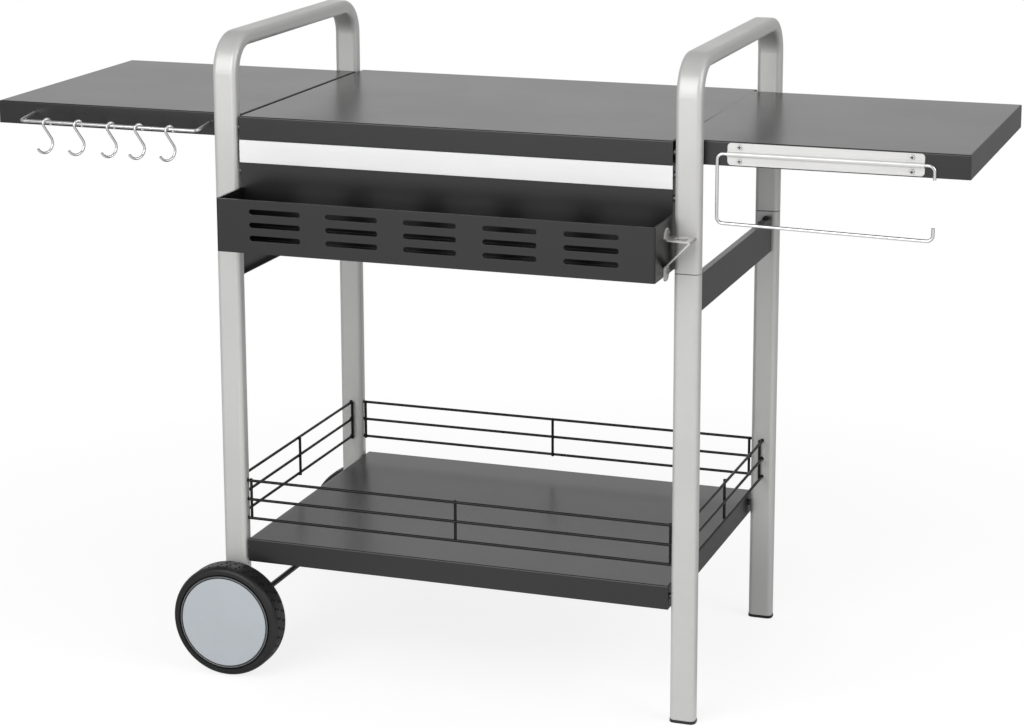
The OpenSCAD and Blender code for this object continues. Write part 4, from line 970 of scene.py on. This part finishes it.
class CART_OT_opener(bpy.types.Operator):
    """Model the bottle opener: two tabs, the plate with its hole and the brace"""

    bl_idname = "cart.opener"
    bl_label = "Bottle opener"

    def execute(self, context):
        sizes = context.scene.cart_details
        sheet, fall = sizes.opener_sheet, sizes.opener_fall
        low, high = corners(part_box("bottle_opener"))
        face = low.x + sheet / 2
        top, base = high.z, low.z
        tab_end = top - sizes.opener_tab
        middle_y = (low.y + high.y) / 2 - sizes.opener_offset / 2
        opener = started("plane", size=1.0, rotation=(0.0, math.pi / 2, 0.0),
                         location=(face, middle_y, (top + tab_end) / 2),
                         scale=(sizes.opener_tab, sizes.opener_tab_width, 1.0))
        nose = Vector((high.x - sheet / 2, 0.0, tab_end - fall))
        root = Vector((face + sizes.opener_root, 0.0, tab_end - fall * ROOT_FALL))
        foot = Vector((face, 0.0, base + sizes.opener_foot))
        widen = sizes.opener_plate_width / sizes.opener_tab_width
        # The strip's bends, from the upper tab on, and its change of width at each
        path = [(Vector((face, 0.0, tab_end)), 1.0), (root, widen), (nose, 1.0),
                (foot, 1.0 / widen), (Vector((face, 0.0, base)), 1.0)]
        start_edit(opener, "VERT")
        pick_points(opener, lambda spot: spot.z < tab_end + NEAR)
        for (before, _), (after, wider) in zip(path, path[1:]):
            bpy.ops.mesh.extrude_region_move(
                TRANSFORM_OT_translate={"value": tuple(after - before)})
            resize(1.0, wider, 1.0, (after.x, middle_y, after.z))
        for corner_z in (top, base):
            pick_points(opener, lambda spot: abs(spot.z - corner_z) < NEAR)
            bpy.ops.mesh.bevel(offset=sizes.opener_corner, segments=6, affect="VERTICES")
        bpy.ops.mesh.select_mode(type="FACE")
        plate = (root + nose) / 2 + Vector((0.0, middle_y, 0.0))
        pick_faces(opener, lambda spot: (spot - plate).length < NEAR)
        bpy.ops.mesh.inset(thickness=sizes.opener_rim)
        bpy.ops.mesh.bevel(offset=sizes.opener_hole_corner, segments=2, affect="VERTICES")
        pick_faces(opener, lambda spot: (spot - plate).length < NEAR)
        bpy.ops.mesh.delete(type="FACE")
        end_edit()
        rounded(opener, width=0.0016, segments=4, angle_limit=15.0)
        modified(opener, "SOLIDIFY", thickness=sheet, offset=0.0, use_even_offset=True)
        rounded(opener, width=0.00025, segments=2, angle_limit=40.0)
        mounted(context, opener, "opener_bent_strip", "Satin Steel")
        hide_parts("bottle_opener")
        return {"FINISHED"}


class CART_OT_plate_screws(bpy.types.Operator):
    """Model the cross-head screws that hold the roll holder's plate"""

    bl_idname = "cart.plate_screws"
    bl_label = "Plate screws"

    def execute(self, context):
        sizes = context.scene.cart_details
        low, high = corners(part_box("roll_plate_screws"))
        radius, rise = sizes.screw_radius, sizes.screw_rise
        shank = round_bar(sizes.screw_shank, high.y - low.y - rise, sides=24)
        screw = joined([self.head(sizes), shank])
        places = [Matrix.Translation((x, low.y + rise, z))
                  for x in (low.x + radius, high.x - radius)
                  for z in (low.z + radius, high.z - radius)]
        screws = mounted(context, repeated(screw, places), "roll_plate_screw_set",
                         "Screw Steel", smooth=40.0)
        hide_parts("roll_plate_screws")
        return {"FINISHED"}

    @staticmethod
    def head(sizes):
        """The pan head with a cross cut into it."""
        rise = sizes.screw_rise
        head = round_bar(sizes.screw_radius, -rise, sides=40, narrow=CROWN)
        rounded(head, width=0.0005, segments=3)
        strokes = ((sizes.recess_length, sizes.recess_width),
                   (sizes.recess_width, sizes.recess_length))
        for across, upright in strokes:
            cutter = started("cube", size=1.0, location=(0.0, -rise, 0.0),
                             scale=(across, 2 * sizes.recess_depth, upright))
            modified(head, "BOOLEAN", operation="DIFFERENCE", solver="EXACT", object=cutter)
            remove(cutter)
        return head


class CART_OT_fittings(bpy.types.Operator):
    """Finish the hook rail, the hooks, the roll holder, the caps, bolts, nuts and screws"""

    bl_idname = "cart.fittings"
    bl_label = "Fittings and fasteners"

    def execute(self, context):
        dress(context, "Brushed Steel", "roll_plate")
        dress(context, "Bright Wire", "hook_rail", "roll_wire",
              *("s_hook_%d" % number for number in range(1, 6)))
        dress(context, "Zinc Plating", "hook_rail_nuts", "axle_nuts", "opener_screws")
        dress(context, "Dull Plating", "side_table_bolts", "side_table_washers", "link_bolts",
              "link_nuts", "link_spacers", "frame_bolts", "frame_spacers")
        dress(context, "Black Plating", "rail_screws", "basket_screws")
        dress(context, "Black Plastic", "foot_caps", "leg_plugs")
        return {"FINISHED"}


class CART_OT_wheels(bpy.types.Operator):
    """Finish the tyres, the rims and the hubcaps"""

    bl_idname = "cart.wheels"
    bl_label = "Wheels"

    def execute(self, context):
        dress(context, "Tyre Rubber", "tyre_front", "tyre_rear")
        dress(context, "Rim Plastic", "rim_front", "rim_rear")
        dress(context, "Hubcap Plastic", "hubcap_front", "hubcap_rear")
        return {"FINISHED"}


class CART_OT_rim_beads(bpy.types.Operator):
    """Model the rounded bead on the lip of each rim, around the hubcap"""

    bl_idname = "cart.rim_beads"
    bl_label = "Rim beads"

    def execute(self, context):
        sizes = context.scene.cart_details
        for wheel, outward in (("front", -1.0), ("rear", 1.0)):
            low, high = corners(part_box("rim_" + wheel))
            middle = (low + high) / 2
            face = low.y if outward < 0.0 else high.y
            bead = started("torus", location=(middle.x, face, middle.z), rotation=ALONG_Y,
                           major_segments=120, minor_segments=14,
                           major_radius=sizes.bead_ring, minor_radius=sizes.bead_radius)
            start_edit(bead, "VERT")
            for half, flat in ((-outward, BEAD_SINK), (outward, sizes.bead_flat)):
                pick_points(bead, lambda spot: (spot.y - face) * half > BEAD_EDGE)
                resize(1.0, flat, 1.0, (0.0, face, 0.0))
            end_edit()
            # The bead's lighter finish is a painted highlight
            mounted(context, bead, "rim_bead_" + wheel, "Rim Lip Painted Highlight",
                    smooth=60.0, body=wheel + "_wheel")
        return {"FINISHED"}


OPERATORS = (
    CART_OT_camera, CART_OT_stage, CART_OT_frames, CART_OT_wing_screws, CART_OT_sheets,
    CART_OT_seam_strip, CART_OT_guards, CART_OT_welds, CART_OT_opener, CART_OT_plate_screws,
    CART_OT_fittings, CART_OT_wheels, CART_OT_rim_beads)


class CART_PT_dressing(bpy.types.Panel):
    """Lists the steps that dress the cart, and their settings"""

    bl_idname = "CART_PT_dressing"
    bl_label = "Grill Cart"
    bl_space_type = "VIEW_3D"
    bl_region_type = "UI"
    bl_category = "Grill Cart"

    def draw(self, context):
        for operator in OPERATORS:
            self.layout.operator(operator.bl_idname)
        for name in SETTINGS:
            settings = getattr(context.scene, name)
            box = self.layout.box()
            for setting in type(settings).__annotations__:
                box.prop(settings, setting)


SETTINGS = {
    "cart_finishes": CartFinishes,
    "cart_details": CartDetails,
    "cart_stage": CartStage,
    "cart_camera": CartCamera,
}
CLASSES = (*SETTINGS.values(), *OPERATORS, CART_PT_dressing)


def register():
    for kind in CLASSES:
        bpy.utils.register_class(kind)
    for name, kind in SETTINGS.items():
        setattr(bpy.types.Scene, name, bpy.props.PointerProperty(type=kind))


def unregister():
    for name in SETTINGS:
        delattr(bpy.types.Scene, name)
    for kind in reversed(CLASSES):
        bpy.utils.unregister_class(kind)


def run(operator):
    """Calls an operator through bpy.ops by its bl_idname."""
    area, name = operator.bl_idname.split(".")
    getattr(getattr(bpy.ops, area), name)()


def main():
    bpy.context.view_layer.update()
    register()
    for operator in OPERATORS:
        run(operator)


if __name__ == "__main__":
    main()
